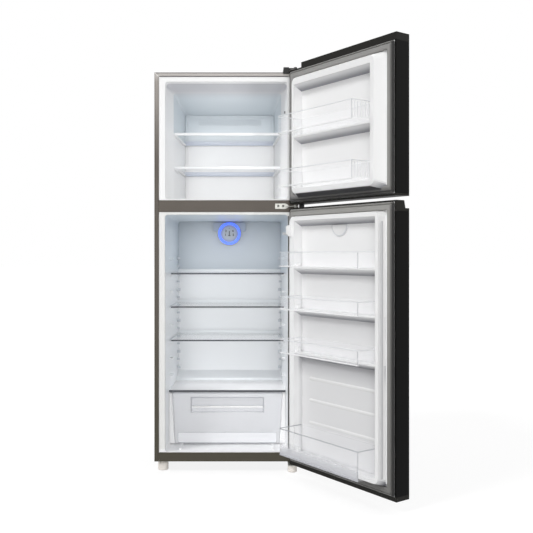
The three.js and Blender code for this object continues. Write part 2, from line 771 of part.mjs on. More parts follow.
function doorSwitch() {
  const { y, length, z, half: tall } = switchBody;
  const wall = sectionAt(fridgeMouth, fridgeBack, y + length).half - gap;
  const body = block([plungerX - 6, wall], [y, y + length], [z - tall, z + tall]);
  return cut(body, rod(plungerRadius + runningFit, [plungerX, y - 1, z], [plungerX, y + 18, z], 24));
}

function switchPlunger() {
  const { y, z } = switchBody;
  return rod(plungerRadius, [plungerX, lugTip + 2 * gap, z], [plungerX, y + 10, z], 24);
}

function freezerSensor() {
  const y = 47;
  const z = freezerMouth.top - 119;
  const radius = 4.5;
  const wall = sectionAt(freezerMouth, freezerThroat, y + radius).half - gap;
  return rod(radius, [wall - 3, y, z], [wall, y, z], 16);
}

// ---- Hinges and feet ----------------------------------------------------------------------

const notchFloor = freezerDoorTop - notchDepth;
const hingePlateHalf = 18;
const hingeReach = pivotForward + 15;

function topHinge() {
  const seat = cabinetTop + gap;
  const top = seat + bracketPlate;
  const plate = block([pivotX - 24, half - 2], [-hingeReach, 70], [seat, top]);
  const upturn = block([pivotX - 24, half - 4], [0, bracketPlate], [seat, freezerDoorTop]);
  const pin = rod(pinRadius, [pivotX, pivotY, notchFloor - pinLength], [pivotX, pivotY, seat + 1], 24);
  const collar = rod(collarRadius, [pivotX, pivotY, notchFloor + gap], [pivotX, pivotY, seat + 1], 24);
  const head = rod(7, [pivotX, pivotY, seat + 1], [pivotX, pivotY, top + 4], 20);
  return join(plate, upturn, pin, collar, head);
}

// Plastic housing beside the top hinge, with a lip over the edge of the cabinet.
function topHingeCover() {
  const low = cabinetTop + gap;
  const high = freezerDoorTop + 2;
  const wide = [pivotX - 48, pivotX - 25];
  const shell = block(wide, [-7, 96], [low, high]);
  const space = block([wide[0] + 2, wide[1] - 2], [2, 94], [low - 1, high - 3]);
  const lip = block(wide, [-7, -gap], [low - 7, low + 1]);
  return join(cut(shell, space), lip);
}

function middleHinge() {
  const armBottom = fridgeDoorTop + 7;
  const armTop = armBottom + 3.5;
  const leaf = [pivotX - 83, pivotX - 30];
  const leafMiddle = pivotX - 58;
  const plate = block(leaf, [-2.8, -gap], [armBottom - 8, armTop + 11]);
  const arm = alongZ(outline([
    [leafMiddle, -gap], [leaf[1], -gap], [half - 2, pivotY + 12], [half - 2, -hingeReach],
    [pivotX - 14, -hingeReach], [pivotX - 20, pivotY + 4]]), armBottom, armTop);
  const pin = rod(pinRadius, [pivotX, pivotY, fridgeDoorTop - pinLength],
    [pivotX, pivotY, freezerDoorBottom + pinLength], 24);
  const collar = rod(collarRadius, [pivotX, pivotY, fridgeDoorTop + gap],
    [pivotX, pivotY, freezerDoorBottom - gap], 24);
  const screws = [10, 28, 44].map((along) => {
    const x = leaf[0] + along;
    return rod(3.6, [x, -4.6, armTop + 5], [x, -1, armTop + 5], 12);
  });
  return join(plate, arm, pin, collar, ...screws);
}

const bottomPlate = fridgeDoorBottom - 6.1;         // underside of the bottom hinge

function bottomHinge() {
  const seat = cabinetBottom - gap;
  const low = bottomPlate;
  const fold = 26;
  const profile = outline([
    [-hingeReach, low], [fold, low], [fold, seat - bracketPlate], [70, seat - bracketPlate], [70, seat],
    [fold - bracketPlate, seat], [fold - bracketPlate, low + bracketPlate], [-hingeReach, low + bracketPlate],
  ]);
  const plate = alongX(profile, rightFoot.x - rightFoot.radius, half - 2);
  const pin = rod(pinRadius, [pivotX, pivotY, low + 1], [pivotX, pivotY, fridgeDoorBottom + pinLength], 24);
  const collar = rod(collarRadius, [pivotX, pivotY, low + 1], [pivotX, pivotY, fridgeDoorBottom - gap], 24);
  return cut(join(plate, pin, collar), upright(stud + runningFit, rightFoot, low - 5, low + 8));
}

// A levelling foot: a round pad on a stud.
function foot({ x, y, radius }, height, studTop) {
  return turned([
    [0, 0], [radius - 2, 0], [radius, 2], [radius, height - 2], [radius - 2, height],
    [stud, height], [stud, studTop], [0, studTop],
  ], x, y, 28);
}

// ---- Doors --------------------------------------------------------------------------------

// Doors are drawn closed, about their hinge axis: x to the hinge edge, y to the cabinet.
const freezerRingFront = 231;       // half-width of the front of each liner's raised ring
const fridgeRingFront = 249;

const freezerDoor = {
  bottom: freezerDoorBottom,
  top: freezerDoorTop,
  topCap: 27,
  topBand: 27,
  bottomCap: 7,
  bottomGasket: 12,
  dykeHeight: 43,
  dykeBase: 260,
  dykeFront: freezerRingFront,
  dykeTop: freezerMouth.top + 1,
  dykeBottom: mullionTop + 2,
  dykeTopInset: 15,
  dykeBottomInset: 17,
  cellFree: freezerRingFront - 19 - doorMiddle,
  cellHinge: 66,
  cellTop: freezerMouth.top - 40,
  cellDrop: 22,
  ledge: 7,
  bins: { rise: [36, 246], height: [68, 70], reach: 127 },
};

const fridgeDoor = {
  bottom: fridgeDoorBottom,
  top: fridgeDoorTop,
  topCap: gripHeight + 10,
  topBand: 6,
  bottomCap: 16,
  bottomGasket: 24,
  dykeHeight: 40,
  dykeBase: 257.5,
  dykeFront: fridgeRingFront,
  dykeTop: fridgeMouth.top - 11,
  dykeBottom: fridgeMouth.bottom + 1.5,
  dykeTopInset: 3,
  dykeBottomInset: 13,
  cellFree: fridgeRingFront - 15.5 - doorMiddle,
  cellHinge: 66,
  cellTop: fridgeMouth.top - 30,
  cellDrop: 22,
  ledge: 7,
  bins: {
    rise: [32.5, ...[542, 371, 203].map((drop) => fridgeMouth.top - fridgeMouth.bottom - 13 - drop)],
    height: [105, 55, 52, 59],
    reach: 119,
  },
};

const cellFloor = rimFace + 1;
const binPlay = 3;                  // between a bin and each side of its hollow
const binWall = 2.5;
const boss = { near: 16, length: 12, height: 16, reach: 8 };

function doorSkin(door) {
  const inner = doorInner - sheet;
  const outer = doorOuter + sheet;
  const path = outline([
    [doorFree + skinLip, doorInner], [doorFree, doorInner], [doorFree, doorOuter], [doorHinge, doorOuter],
    [doorHinge, doorInner], [doorHinge - skinLip, doorInner], [doorHinge - skinLip, inner],
    [doorHinge - sheet, inner], [doorHinge - sheet, outer], [doorFree + sheet, outer],
    [doorFree + sheet, inner], [doorFree + skinLip, inner],
  ]);
  return alongZ(path, door.bottom + door.bottomCap + gap, door.top - door.topCap - gap);
}

// The block inside a cap that takes the hinge pin.
function hingeSocket(z0, z1) {
  const edge = sheet + gap;
  return block([doorHinge - hingeBlock.length, doorHinge - edge], [doorOuter + edge, rimBack - gap], [z0, z1]);
}

function pinHole(z0, z1) {
  return rod(pinRadius + runningFit, [0, 0, z0], [0, 0, z1], 24);
}

// Hollows a cap from below or above, but leaves its last part at the hinge solid.
function hollowed(cap, [z0, z1], end = -hingeBlock.length) {
  return cut(cap, block([doorFree + capWall, end], [doorOuter + capWall, doorInner - capWall], [z0, z1]));
}

function freezerTopCap() {
  const { top, topCap } = freezerDoor;
  const low = top - topCap;
  const bar = block([doorFree, doorHinge], [doorOuter, doorInner], [low, top]);
  const notch = block([-notchLength, doorHinge + 1], [doorOuter - 1, doorInner + 1], [notchFloor, top + 1]);
  const cap = cut(hollowed(bar, [low - 1, top - capWall], -notchLength - capWall), notch);
  const socket = hingeSocket(low - hingeBlock.height, low + 1);
  return cut(join(cap, socket), pinHole(notchFloor - pinLength - 1, top + 1));
}

function bottomCap(door) {
  const low = door.bottom;
  const high = low + door.bottomCap;
  const bar = block([doorFree, doorHinge], [doorOuter, doorInner], [low, high]);
  const cap = hollowed(bar, [low + capWall, high + 1]);
  return cut(join(cap, hingeSocket(high - 1, high + hingeBlock.height)), pinHole(low - 1, low + pinLength + 1));
}

// The cap of the fresh food door is stepped at its outer edge, as a hand grip.
function fridgeTopCap() {
  const { top, topCap, topBand } = fridgeDoor;
  const low = top - topCap;
  const back = rimBack - gap;
  const step = top - gripHeight;
  const face = doorOuter + gripDepth;
  const lean = 3;
  const profile = outline([
    [doorOuter, low], [back, low], [back, top - topBand], [doorInner, top - topBand], [doorInner, top],
    [face + lean, top], [face - lean, step], [doorOuter, step],
  ]);
  const cap = alongX(profile, doorFree, doorHinge);
  const hollow = outline([
    [doorOuter + capWall, low - 1], [back - capWall, low - 1], [back - capWall, top - capWall],
    [face + lean + capWall, top - capWall], [face - lean + capWall, step - capWall],
    [doorOuter + capWall, step - capWall],
  ]);
  const socket = hingeSocket(low - hingeBlock.height, low + 1);
  // The two ends wrap round the rim of the liner, as the lips of the skin do below them.
  const ends = [
    [doorFree, doorFree + sheet, doorFree + skinLip],
    [doorHinge - sheet, doorHinge, doorHinge - skinLip],
  ].flatMap(([from, to, lip]) => [
    block([from, to], [back - 1, doorInner], [low, top - 1]),
    block([Math.min(from, lip), Math.max(to, lip)], [doorInner - sheet, doorInner], [low, top - 1]),
  ]);
  return cut(join(cut(cap, alongX(hollow, doorFree + capWall, -hingeBlock.length)), socket, ...ends),
    pinHole(top - pinLength - 1, top + 1));
}

function taperedCell(low, high, y0, y1, door, by) {
  const wide = (door.cellFree - door.cellHinge) / 2;
  const middle = -(door.cellFree + door.cellHinge) / 2;
  const draft = 1;
  const cell = tapered(
    { y: y0, half: wide - draft + by, bottom: low - by, top: high - door.cellDrop + by },
    { y: y1, half: wide + by, bottom: low - by, top: high + by }, 2, 2);
  return cell.translate([middle, 0, 0]);
}

// Heights of the bars that the bins stand on.
function barTops(door) {
  return door.bins.rise.map((rise) => door.dykeBottom + rise);
}

// The raised ring of a door liner with its hollows, drawn in by one wall where asked.
function linerForm(door, by) {
  const frontY = doorInner + door.dykeHeight;
  const dyke = tapered(
    {
      y: rimBack - (by ? 1 : 0),
      half: door.dykeBase - by,
      bottom: door.dykeBottom + by,
      top: door.dykeTop - by,
    },
    {
      y: frontY - by,
      half: door.dykeFront - by,
      bottom: door.dykeBottom + door.dykeBottomInset + by,
      top: door.dykeTop - door.dykeTopInset - by,
    }, dykeCorner);
  const bars = barTops(door);
  const cells = bars.map((low, i) => {
    const high = i + 1 < bars.length ? bars[i + 1] - door.ledge : door.cellTop;
    return taperedCell(low, high, cellFloor - by, frontY + 1, door, by);
  });
  return cut(dyke.translate([doorMiddle, 0, 0]), ...cells);
}

// Where the two ends of a bin and of its hollow stand.
function binEnds(door) {
  return [-door.cellFree + binPlay, -door.cellHinge - binPlay];
}

function bossBlock(door, side, z, grow) {
  const [free, hinge] = binEnds(door);
  const end = side < 0 ? free : hinge;
  const wall = end + side * (binPlay + gap);
  const tip = end - side * (boss.reach + grow);
  const near = cellFloor + boss.near;
  return block([Math.min(wall, tip), Math.max(wall, tip)], [near - grow, near + boss.length + grow],
    [z - (grow ? 5 : 0), z + boss.height + grow]);
}

function doorLiner(door) {
  const edge = sheet + gap;
  const rim = block([doorFree + edge, doorHinge - edge], [rimBack, rimFace],
    [door.bottom + door.bottomCap + gap, door.top - door.topBand - gap]);
  const shell = cut(join(rim, linerForm(door, 0)), linerForm(door, linerWall));
  const bosses = barTops(door).flatMap((z) => [-1, 1].map((side) => bossBlock(door, side, z - 0.5, 0)));
  return join(shell, ...bosses);
}

// The fresh food door carries a lug that presses the light switch.
function fridgeDoorLiner() {
  const start = doorInner + fridgeDoor.dykeHeight - linerWall + 0.5;
  const tip = doorInner + lug.reach;
  const side = outline([
    [start, lug.low], [tip - 11, lug.low], [tip - 4, lug.low + 4], [tip, lug.low + 10],
    [tip, lug.high - 13], [tip - 2.5, lug.high - 6], [tip - 8, lug.high - 1.5], [start, lug.high],
  ]);
  const press = alongX(side, -lug.far, -lug.near);
  return join(doorLiner(fridgeDoor), press);
}

function doorFoam(door) {
  const bottom = door.bottom + door.bottomCap + 2 * gap;
  const top = door.top - door.topCap - 2 * gap;
  const edge = sheet + gap;
  const fill = block([doorFree + edge, doorHinge - edge], [doorOuter + edge, rimBack - gap], [bottom, top]);
  const swell = linerForm(door, linerWall + gap);
  const corner = [doorHinge - hingeBlock.length - gap, doorHinge];
  const depth = [doorOuter, rimBack];
  const upper = block(corner, depth, [top - hingeBlock.height, top + 1]);
  const lower = block(corner, depth, [bottom - 1, bottom + hingeBlock.height]);
  return cut(join(fill, swell), upper, lower);
}

function gasket(door) {
  const edge = [doorFree + gasketInset, doorHinge - gasketInset];
  const low = door.bottom + door.bottomCap + 2 * gap;
  const high = door.top - door.topBand - 2 * gap;
  const ring = (by, y0, y1, bandScale) => {
    const band = gasketBand * bandScale - by;
    const bottomBand = door.bottomGasket * bandScale - by;
    const outer = block([edge[0] + by, edge[1] - by], [y0, y1], [low + by, high - by]);
    const inner = block([edge[0] + by + band, edge[1] - by - band], [y0 - 1, y1 + 1],
      [low + by + bottomBand, high - by - band]);
    return cut(outer, inner);
  };
  return cut(ring(0, rimFace + gap, gasketFace, 1), ring(3, gasketFace - 4, gasketFace + 1, 0.25));
}

function doorBin(door, index) {
  const { height, reach } = door.bins;
  const low = barTops(door)[index] + gap;
  const high = low + height[index];
  const [free, hinge] = binEnds(door);
  const back = cellFloor + 3;
  const front = doorInner + reach;
  const narrow = 6;
  const tub = (by, z0, z1) => alongZ(outline([
    [free + by, back + by], [hinge - by, back + by],
    [hinge - by - narrow, front - by], [free + by + 1, front - by],
  ]), z0, z1);
  const slots = [-1, 1].map((side) => bossBlock(door, side, low - gap, gap));
  return cut(tub(0, low, high), tub(binWall, low + binWall, high + 1), ...slots);
}

function deodoriserCover() {
  const z = fridgeDoor.cellTop - fridgeDoor.cellDrop - 1;
  const radius = 42;
  const shape = new THREE.Shape();
  shape.absarc(0, z, radius, Math.PI, 2 * Math.PI);
  const middle = -(fridgeDoor.cellFree + fridgeDoor.cellHinge) / 2;
  return alongY(shape, cellFloor + gap, cellFloor + 5, 20).translate([middle, 0, 0]);
}

// ---- Assembly -----------------------------------------------------------------------------

function addDoorNode(name, manifold, colour) {
  addNode(name, manifold.rotate([0, 0, openAngle]).translate([pivotX, pivotY, 0]), colour);
}

addNode('cabinet_shell', cabinetShell(), colours.steel);
addNode('mullion_rail', frontChannel(mullionBottom, mullionTop), colours.steel);
addNode('base_rail', frontChannel(cabinetBottom, railTop), colours.steel);
addNode('base_pan', basePan(), colours.steel);
addNode('rear_panel', rearPanel(), colours.steel);
addNode('compressor_cover', compressorCover(), colours.black);
addNode('power_inlet', powerInlet(), colours.black);
addNode('freezer_liner', freezerLiner(), colours.white);
addNode('fridge_liner', fridgeLiner(), colours.white);
addNode('cabinet_foam', cabinetFoam(), colours.foam);

freezerShelves.forEach((top, i) => addNode(`freezer_shelf_${i + 1}`,
  shelf(freezerThroat, freezerBack, [shelfFront, coverPlane - shelfBackClearance], top, freezerShelfPlay),
  colours.glass));
fridgeShelves.forEach((top, i) => addNode(`fridge_shelf_${i + 1}`,
  shelf(fridgeMouth, fridgeBack, [shelfFront, fridgeDepth - shelfBackClearance], top, fridgeShelfPlay),
  colours.glass));
addNode('crisper_cover',
  shelf(fridgeMouth, fridgeBack, [crisperCoverFront, humpShoulder.y - 10], crisperCoverLevel, freezerShelfPlay),
  colours.glass);
addNode('crisper_drawer', crisperDrawer(), colours.clear);

addNode('evaporator_cover', evaporatorCover(), colours.white);
addNode('evaporator', evaporator(), colours.fins);
addNode('defrost_heater', defrostHeater(), colours.zinc);
addNode('fan_motor', fanMotor(), colours.black);
addNode('fan_blade', fanBlade(), colours.white);
addNode('drain_tube', drainTube(), colours.black);
addNode('compressor', compressor(), colours.black);
addNode('drip_tray', dripTray(), colours.black);
addNode('filter_drier', filterDrier(), colours.copper);
addNode('discharge_pipe', dischargePipe(), colours.copper);

addNode('air_duct', airDuct(), colours.white);
addNode('light_ring', lightRing(), colours.glow);
addNode('control_dial', controlDial(), colours.dial);
addNode('door_switch', doorSwitch(), colours.white);
addNode('switch_plunger', switchPlunger(), colours.black);
addNode('freezer_sensor', freezerSensor(), colours.black);

addNode('top_hinge', topHinge(), colours.zinc);
addNode('top_hinge_cover', topHingeCover(), colours.black);
addNode('middle_hinge', middleHinge(), colours.zinc);
addNode('bottom_hinge', bottomHinge(), colours.zinc);
addNode('front_foot_left', foot(leftFoot, cabinetBottom - gap, cabinetBottom + sheet), colours.cream);
addNode('front_foot_right', foot(rightFoot, bottomPlate - gap, cabinetBottom - 2 * gap), colours.cream);
addNode('rear_roller_left', rearRoller(-roller.x), colours.black);
addNode('rear_roller_right', rearRoller(roller.x), colours.black);

addDoorNode('freezer_door_skin', doorSkin(freezerDoor), colours.skin);
addDoorNode('freezer_door_top_cap', freezerTopCap(), colours.cap);
addDoorNode('freezer_door_bottom_cap', bottomCap(freezerDoor), colours.cap);
addDoorNode('freezer_door_foam', doorFoam(freezerDoor), colours.foam);
addDoorNode('freezer_door_liner', doorLiner(freezerDoor), colours.white);
addDoorNode('freezer_door_gasket', gasket(freezerDoor), colours.rubber);
freezerDoor.bins.rise.forEach((rise, i) => addDoorNode(
  `freezer_bin_${i + 1}`, doorBin(freezerDoor, i), colours.clear));

addDoorNode('fridge_door_skin', doorSkin(fridgeDoor), colours.skin);
addDoorNode('fridge_door_top_cap', fridgeTopCap(), colours.cap);
addDoorNode('fridge_door_bottom_cap', bottomCap(fridgeDoor), colours.cap);
addDoorNode('fridge_door_foam', doorFoam(fridgeDoor), colours.foam);
addDoorNode('fridge_door_liner', fridgeDoorLiner(), colours.white);
addDoorNode('fridge_door_gasket', gasket(fridgeDoor), colours.rubber);
fridgeDoor.bins.rise.forEach((rise, i) => addDoorNode(
  `fridge_bin_${i + 1}`, doorBin(fridgeDoor, i), colours.clear));
addDoorNode('deodoriser_cover', deodoriserCover(), colours.white);

// The origin ends up at the bottom centre of the whole object, doors open.
const extent = new THREE.Box3().setFromObject(root);
const centre = extent.getCenter(new THREE.Vector3());
for (const mesh of root.children) {
  mesh.geometry.translate(-centre.x, -centre.y, -extent.min.z);
}

export default root;
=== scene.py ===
import json
import math
import bmesh
import bpy
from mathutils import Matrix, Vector


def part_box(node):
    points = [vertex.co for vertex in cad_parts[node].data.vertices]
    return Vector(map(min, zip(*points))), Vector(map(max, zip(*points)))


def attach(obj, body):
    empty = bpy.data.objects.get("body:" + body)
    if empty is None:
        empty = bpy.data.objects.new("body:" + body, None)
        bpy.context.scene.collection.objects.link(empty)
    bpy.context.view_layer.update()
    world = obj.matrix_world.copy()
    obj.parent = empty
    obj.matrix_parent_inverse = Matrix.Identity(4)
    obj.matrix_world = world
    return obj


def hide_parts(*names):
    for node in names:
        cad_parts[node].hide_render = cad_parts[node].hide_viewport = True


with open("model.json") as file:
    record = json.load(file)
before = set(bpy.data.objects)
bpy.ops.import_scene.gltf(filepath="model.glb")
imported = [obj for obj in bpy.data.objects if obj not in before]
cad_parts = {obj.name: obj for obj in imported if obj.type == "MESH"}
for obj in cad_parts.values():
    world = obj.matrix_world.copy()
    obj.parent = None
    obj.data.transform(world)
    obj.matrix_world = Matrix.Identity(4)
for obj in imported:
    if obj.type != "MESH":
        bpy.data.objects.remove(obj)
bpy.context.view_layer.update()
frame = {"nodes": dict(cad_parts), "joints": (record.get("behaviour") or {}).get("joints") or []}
nodes = frame["nodes"]

# Positions below are in millimetres, as on a drawing of the cabinet: x from its middle, y from its front edge
# towards the back, z from the floor. A door has its own x and y, measured from its hinge pin while it is shut.
shellLow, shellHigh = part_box("cabinet_shell")
cabinetZero = ((shellLow.x + shellHigh.x) / 2, shellLow.y, 0)
joints = {joint["name"]: joint for joint in frame["joints"]}
doorAngle = -math.radians(joints["fridge_door_hinge"]["range_deg"][0])
pinPlace = Vector(joints["fridge_door_hinge"]["pos_m"])
inward = Vector((-math.sin(doorAngle), math.cos(doorAngle), 0))  # from a door's face towards its liner


def onCabinet(x, y, z):
    return Vector([zero + value / 1000 for zero, value in zip(cabinetZero, (x, y, z))])


def onDoor(x, y, z):
    c, s = math.cos(doorAngle), math.sin(doorAngle)
    return Vector((pinPlace.x + (x * c - y * s) / 1000, pinPlace.y + (x * s + y * c) / 1000, z / 1000))


def newObject(name, data):
    thing = bpy.data.objects.new(name, data)
    bpy.context.scene.collection.objects.link(thing)
    return thing


# The camera stands well back and looks straight in, a little to the right of the middle.
camera = {"place": (103.1, -3148.0, 905.8), "lens": 51.03, "sensor": 36, "shift": (0.0289, -0.0227), "reach": 60}
camData = bpy.data.cameras.new("viewCamera")
camData.lens, camData.sensor_width = camera["lens"], camera["sensor"]
camData.shift_x, camData.shift_y = camera["shift"]
camData.clip_end = camera["reach"]
cam = newObject("viewCamera", camData)
cam.location = onCabinet(*camera["place"])
cam.rotation_euler = (math.radians(90), 0, 0)
bpy.context.scene.camera = cam
bpy.context.scene.view_settings.view_transform = "Standard"
bpy.context.scene.cycles.transparent_max_bounces = 24  # the clear bins and drawer stand one behind another
print("camera set")

# Node groups that several finishes share.
floatSocket, vectorSocket = "NodeSocketFloat", "NodeSocketVector"


def makeGroup(name, inputs, outputs):
    tree = bpy.data.node_groups.new(name, "ShaderNodeTree")
    for label, value in inputs.items():
        kind = floatSocket if isinstance(value, float) else vectorSocket
        tree.interface.new_socket(label, in_out="INPUT", socket_type=kind).default_value = value
    for label, kind in outputs.items():
        tree.interface.new_socket(label, in_out="OUTPUT", socket_type=kind)
    return tree, tree.nodes.new("NodeGroupInput").outputs, tree.nodes.new("NodeGroupOutput").inputs


def addNode(tree, kind, values=None, **settings):
    node = tree.nodes.new(kind)
    for key, value in settings.items():
        setattr(node, key, value)
    fill(tree, node, values or {})
    return node


def fill(tree, node, values):
    # a value is either a plain number or colour, or the output of another node
    for key, value in values.items():
        if isinstance(value, bpy.types.NodeSocket):
            tree.links.new(value, node.inputs[key])
        else:
            node.inputs[key].default_value = value


def addMath(tree, operation, *values, clamp=False):
    return addNode(tree, "ShaderNodeMath", dict(enumerate(values)), operation=operation, use_clamp=clamp).outputs[0]


def objectPlace(tree):
    return addNode(tree, "ShaderNodeTexCoord").outputs["Object"]


def splitAxes(tree, source):
    return addNode(tree, "ShaderNodeSeparateXYZ", {0: source}).outputs


def faceNormal(tree):
    return addNode(tree, "ShaderNodeNewGeometry").outputs["Normal"]


def addDot(tree, first, second):
    return addNode(tree, "ShaderNodeVectorMath", {0: first, 1: second}, operation="DOT_PRODUCT").outputs["Value"]


def addRamp(tree, value, start, end, low=0.0, high=1.0, kind="SMOOTHSTEP"):
    values = {"Value": value, "From Min": start, "From Max": end, "To Min": low, "To Max": high}
    return addNode(tree, "ShaderNodeMapRange", values, interpolation_type=kind).outputs["Result"]


def addNoise(tree, spot, scale, detail, roughness=0.5):
    values = {"Vector": spot, "Scale": scale, "Detail": detail, "Roughness": roughness}
    return addNode(tree, "ShaderNodeTexNoise", values).outputs["Fac"]


grainNoise = {"fine": (3.0, 0.6), "cloud": (4.0, 0.55)}  # detail and roughness


def makeGrainGroup():
    # a fine grain, and the broad clouds that vary a finish from place to place
    tree, given, out = makeGroup("fineGrain", {"Scale": 400.0, "Stretch": (1, 1, 1), "Cloud Scale": 4.0},
                                 {"Height": floatSocket, "Cloud": floatSocket})
    spot = objectPlace(tree)
    stretched = addNode(tree, "ShaderNodeVectorMath", {0: spot, 1: given["Stretch"]}, operation="MULTIPLY")
    tree.links.new(addNoise(tree, stretched.outputs[0], given["Scale"], *grainNoise["fine"]), out["Height"])
    tree.links.new(addNoise(tree, spot, given["Cloud Scale"], *grainNoise["cloud"]), out["Cloud"])
    return tree


edgeWear = {"gain": 5.0, "speckle": 90.0, "detail": 4.0, "least": 0.4, "samples": 4}


def makeEdgeGroup():
    # broken wear along the edges, and a normal that rounds them
    tree, given, out = makeGroup("edgeWear", {"Width": 0.001, "Breakup": 0.5},
                                 {"Mask": floatSocket, "Normal": vectorSocket})
    rounded = addNode(tree, "ShaderNodeBevel", {"Radius": given["Width"]}, samples=edgeWear["samples"]).outputs[0]
    away = addMath(tree, "SUBTRACT", 1.0, addDot(tree, rounded, faceNormal(tree)))
    strong = addMath(tree, "MULTIPLY", away, edgeWear["gain"], clamp=True)
    speckle = addNoise(tree, objectPlace(tree), edgeWear["speckle"], edgeWear["detail"])
    broken = addMath(tree, "MULTIPLY_ADD", speckle, given["Breakup"], edgeWear["least"])
    tree.links.new(addMath(tree, "MULTIPLY", strong, broken, clamp=True), out["Mask"])
    tree.links.new(rounded, out["Normal"])
    return tree


# Dust lies only on faces that point up more than this level.
settledDust = {"level": 0.6, "detail": 6.0, "roughness": 0.7}


def makeSettledDustGroup():
    tree, given, out = makeGroup("settledDust", {"Amount": 0.3, "Scale": 30.0}, {"Mask": floatSocket})
    speckle = addNoise(tree, objectPlace(tree), given["Scale"], settledDust["detail"], settledDust["roughness"])
    upward = addMath(tree, "SUBTRACT", splitAxes(tree, faceNormal(tree))["Z"], settledDust["level"], clamp=True)
    spread = addMath(tree, "MULTIPLY", upward, speckle)
    tree.links.new(addMath(tree, "MULTIPLY", spread, given["Amount"], clamp=True), out["Mask"])
    return tree


recessFront = 0.25  # share of the shade that is left at the front of a hollow


def makeRecessGroup():
    # shade of a face that looks down, deepest at the back of its hollow
    tree, given, out = makeGroup(
        "recessShade", {"Strength": 1.5, "Depth Direction": (0, 1, 0), "Back": 0.0, "Front": 0.04},
        {"Mask": floatSocket})
    depth = addDot(tree, objectPlace(tree), given["Depth Direction"])
    fade = addRamp(tree, depth, given["Back"], given["Front"], 1.0, recessFront)
    down = addMath(tree, "MULTIPLY", splitAxes(tree, faceNormal(tree))["Z"], -1.0, clamp=True)
    strong = addMath(tree, "MULTIPLY", down, given["Strength"], clamp=True)
    tree.links.new(addMath(tree, "MULTIPLY", strong, fade, clamp=True), out["Mask"])
    return tree


def makeHeightBandGroup():
    # grows from the start height to the end height, within a range of depths; either may run downwards
    tree, given, out = makeGroup(
        "heightBand", {"Start": 0.0, "End": 1.0, "Depth Start": -10.0, "Depth End": -9.9}, {"Mask": floatSocket})
    parts = splitAxes(tree, objectPlace(tree))
    tall = addRamp(tree, parts["Z"], given["Start"], given["End"])
    deep = addRamp(tree, parts["Y"], given["Depth Start"], given["Depth End"])
    tree.links.new(addMath(tree, "MULTIPLY", tall, deep), out["Mask"])
    return tree


def makeLedgeGroup():
    # shade that gathers on the floor of a hollow below a ledge
    tree, given, out = makeGroup(
        "ledgeShade",
        {"Low": 0.0, "High": 0.05, "Ledge": 0.06, "Depth Direction": (0, 1, 0), "Back": 0.0, "Front": 0.02},
        {"Mask": floatSocket})
    spot = objectPlace(tree)
    height = splitAxes(tree, spot)["Z"]
    rise = addRamp(tree, height, given["Low"], given["High"], kind="LINEAR")
    depth = addDot(tree, spot, given["Depth Direction"])
    product = addMath(tree, "MULTIPLY", rise, addRamp(tree, depth, given["Back"], given["Front"], 1.0, 0.0))
    below = addMath(tree, "LESS_THAN", height, given["Ledge"])
    tree.links.new(addMath(tree, "MULTIPLY", product, below), out["Mask"])
    return tree


grainGroup = makeGrainGroup()
edgeGroup = makeEdgeGroup()
dustGroup = makeSettledDustGroup()
bandGroup = makeHeightBandGroup()
recessGroup = makeRecessGroup()
ledgeGroup = makeLedgeGroup()
print("shader groups made")

# Finishes: each entry is one paint, plastic or metal. Its tones are the colour, the colour of its clouded
# places and that of its worn edges.
finishDefaults = {
    "cloudTint": 0.6, "roughness": 0.4, "grainScale": 900.0, "stretch": (1, 1, 1), "bump": 0.2, "bumpDepth": 0.0004,
    "cloudScale": 5.0, "edgeWidth": 0.0012, "breakup": 0.6, "wear": 0.3, "roughSpread": 0.12, "metallic": 0.0,
    "specular": 0.5, "coatRoughness": 0.2, "dustTone": (196, 192, 184),
}
# Most bands paint light and shade by place: a band's tint grows from its first height or depth to its second, in
# metres, and stays full beyond it.
# A band that names no heights, or no depths, is full at all of them.
anyHeight, anyDepth = (-1.0, -0.9), (-10.0, -9.9)


def fromBytes(red, green, blue):
    def linear(value):  # the usual curve of screen colours
        value = value / 255
        return value / 12.92 if value <= 0.04045 else ((value + 0.055) / 1.055) ** 2.4
    return (linear(red), linear(green), linear(blue), 1.0)


def placeGroup(tree, group, **values):
    # depthStart fills the input Depth Start
    node = addNode(tree, "ShaderNodeGroup", node_tree=group)
    spaced = {"".join(" " + c if c.isupper() else c for c in key).title(): value for key, value in values.items()}
    fill(tree, node, spaced)
    return node.outputs


def mixColor(tree, factor, first, second):
    values = {0: factor, 6: first, 7: second}
    return addNode(tree, "ShaderNodeMix", values, data_type="RGBA").outputs[2]


def newMaterial(name):
    material = bpy.data.materials.new(name)
    material.use_nodes = True
    return material, material.node_tree, material.node_tree.nodes["Principled BSDF"]


def shadeHollow(tree, look, color):
    # painted shade in the hollow door liner: on its floor, in the places below the ledges, and on the faces that look
    # down
    hollow = look["hollow"]
    back, front = (inward.dot(onDoor(0, y, 0)) for y in hollow["depths"])
    near = dict(back=back, front=(back + front) / 2, depthDirection=inward)
    low, high, top = hollow["floor"]
    floor = placeGroup(tree, ledgeGroup, low=low, high=high, ledge=top, **near)
    color = mixColor(tree, floor["Mask"], color, fromBytes(*hollow["floorShadeTone"]))
    for node, amount in hollow["ledges"].items():
        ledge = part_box(node)[0][2]  # the ledge that this bin stands on
        reach, fade, under = hollow["ledgeReach"]
        below = placeGroup(tree, ledgeGroup, low=ledge - reach, high=ledge - fade, ledge=ledge - under, **near)
        strength = addMath(tree, "MULTIPLY", below["Mask"], amount)
        color = mixColor(tree, strength, color, fromBytes(*hollow["ledgeShadeTone"]))
    under = placeGroup(tree, recessGroup, strength=hollow["strength"], back=back, front=front, depthDirection=inward)
    return mixColor(tree, under["Mask"], color, fromBytes(*hollow["underShadeTone"]))


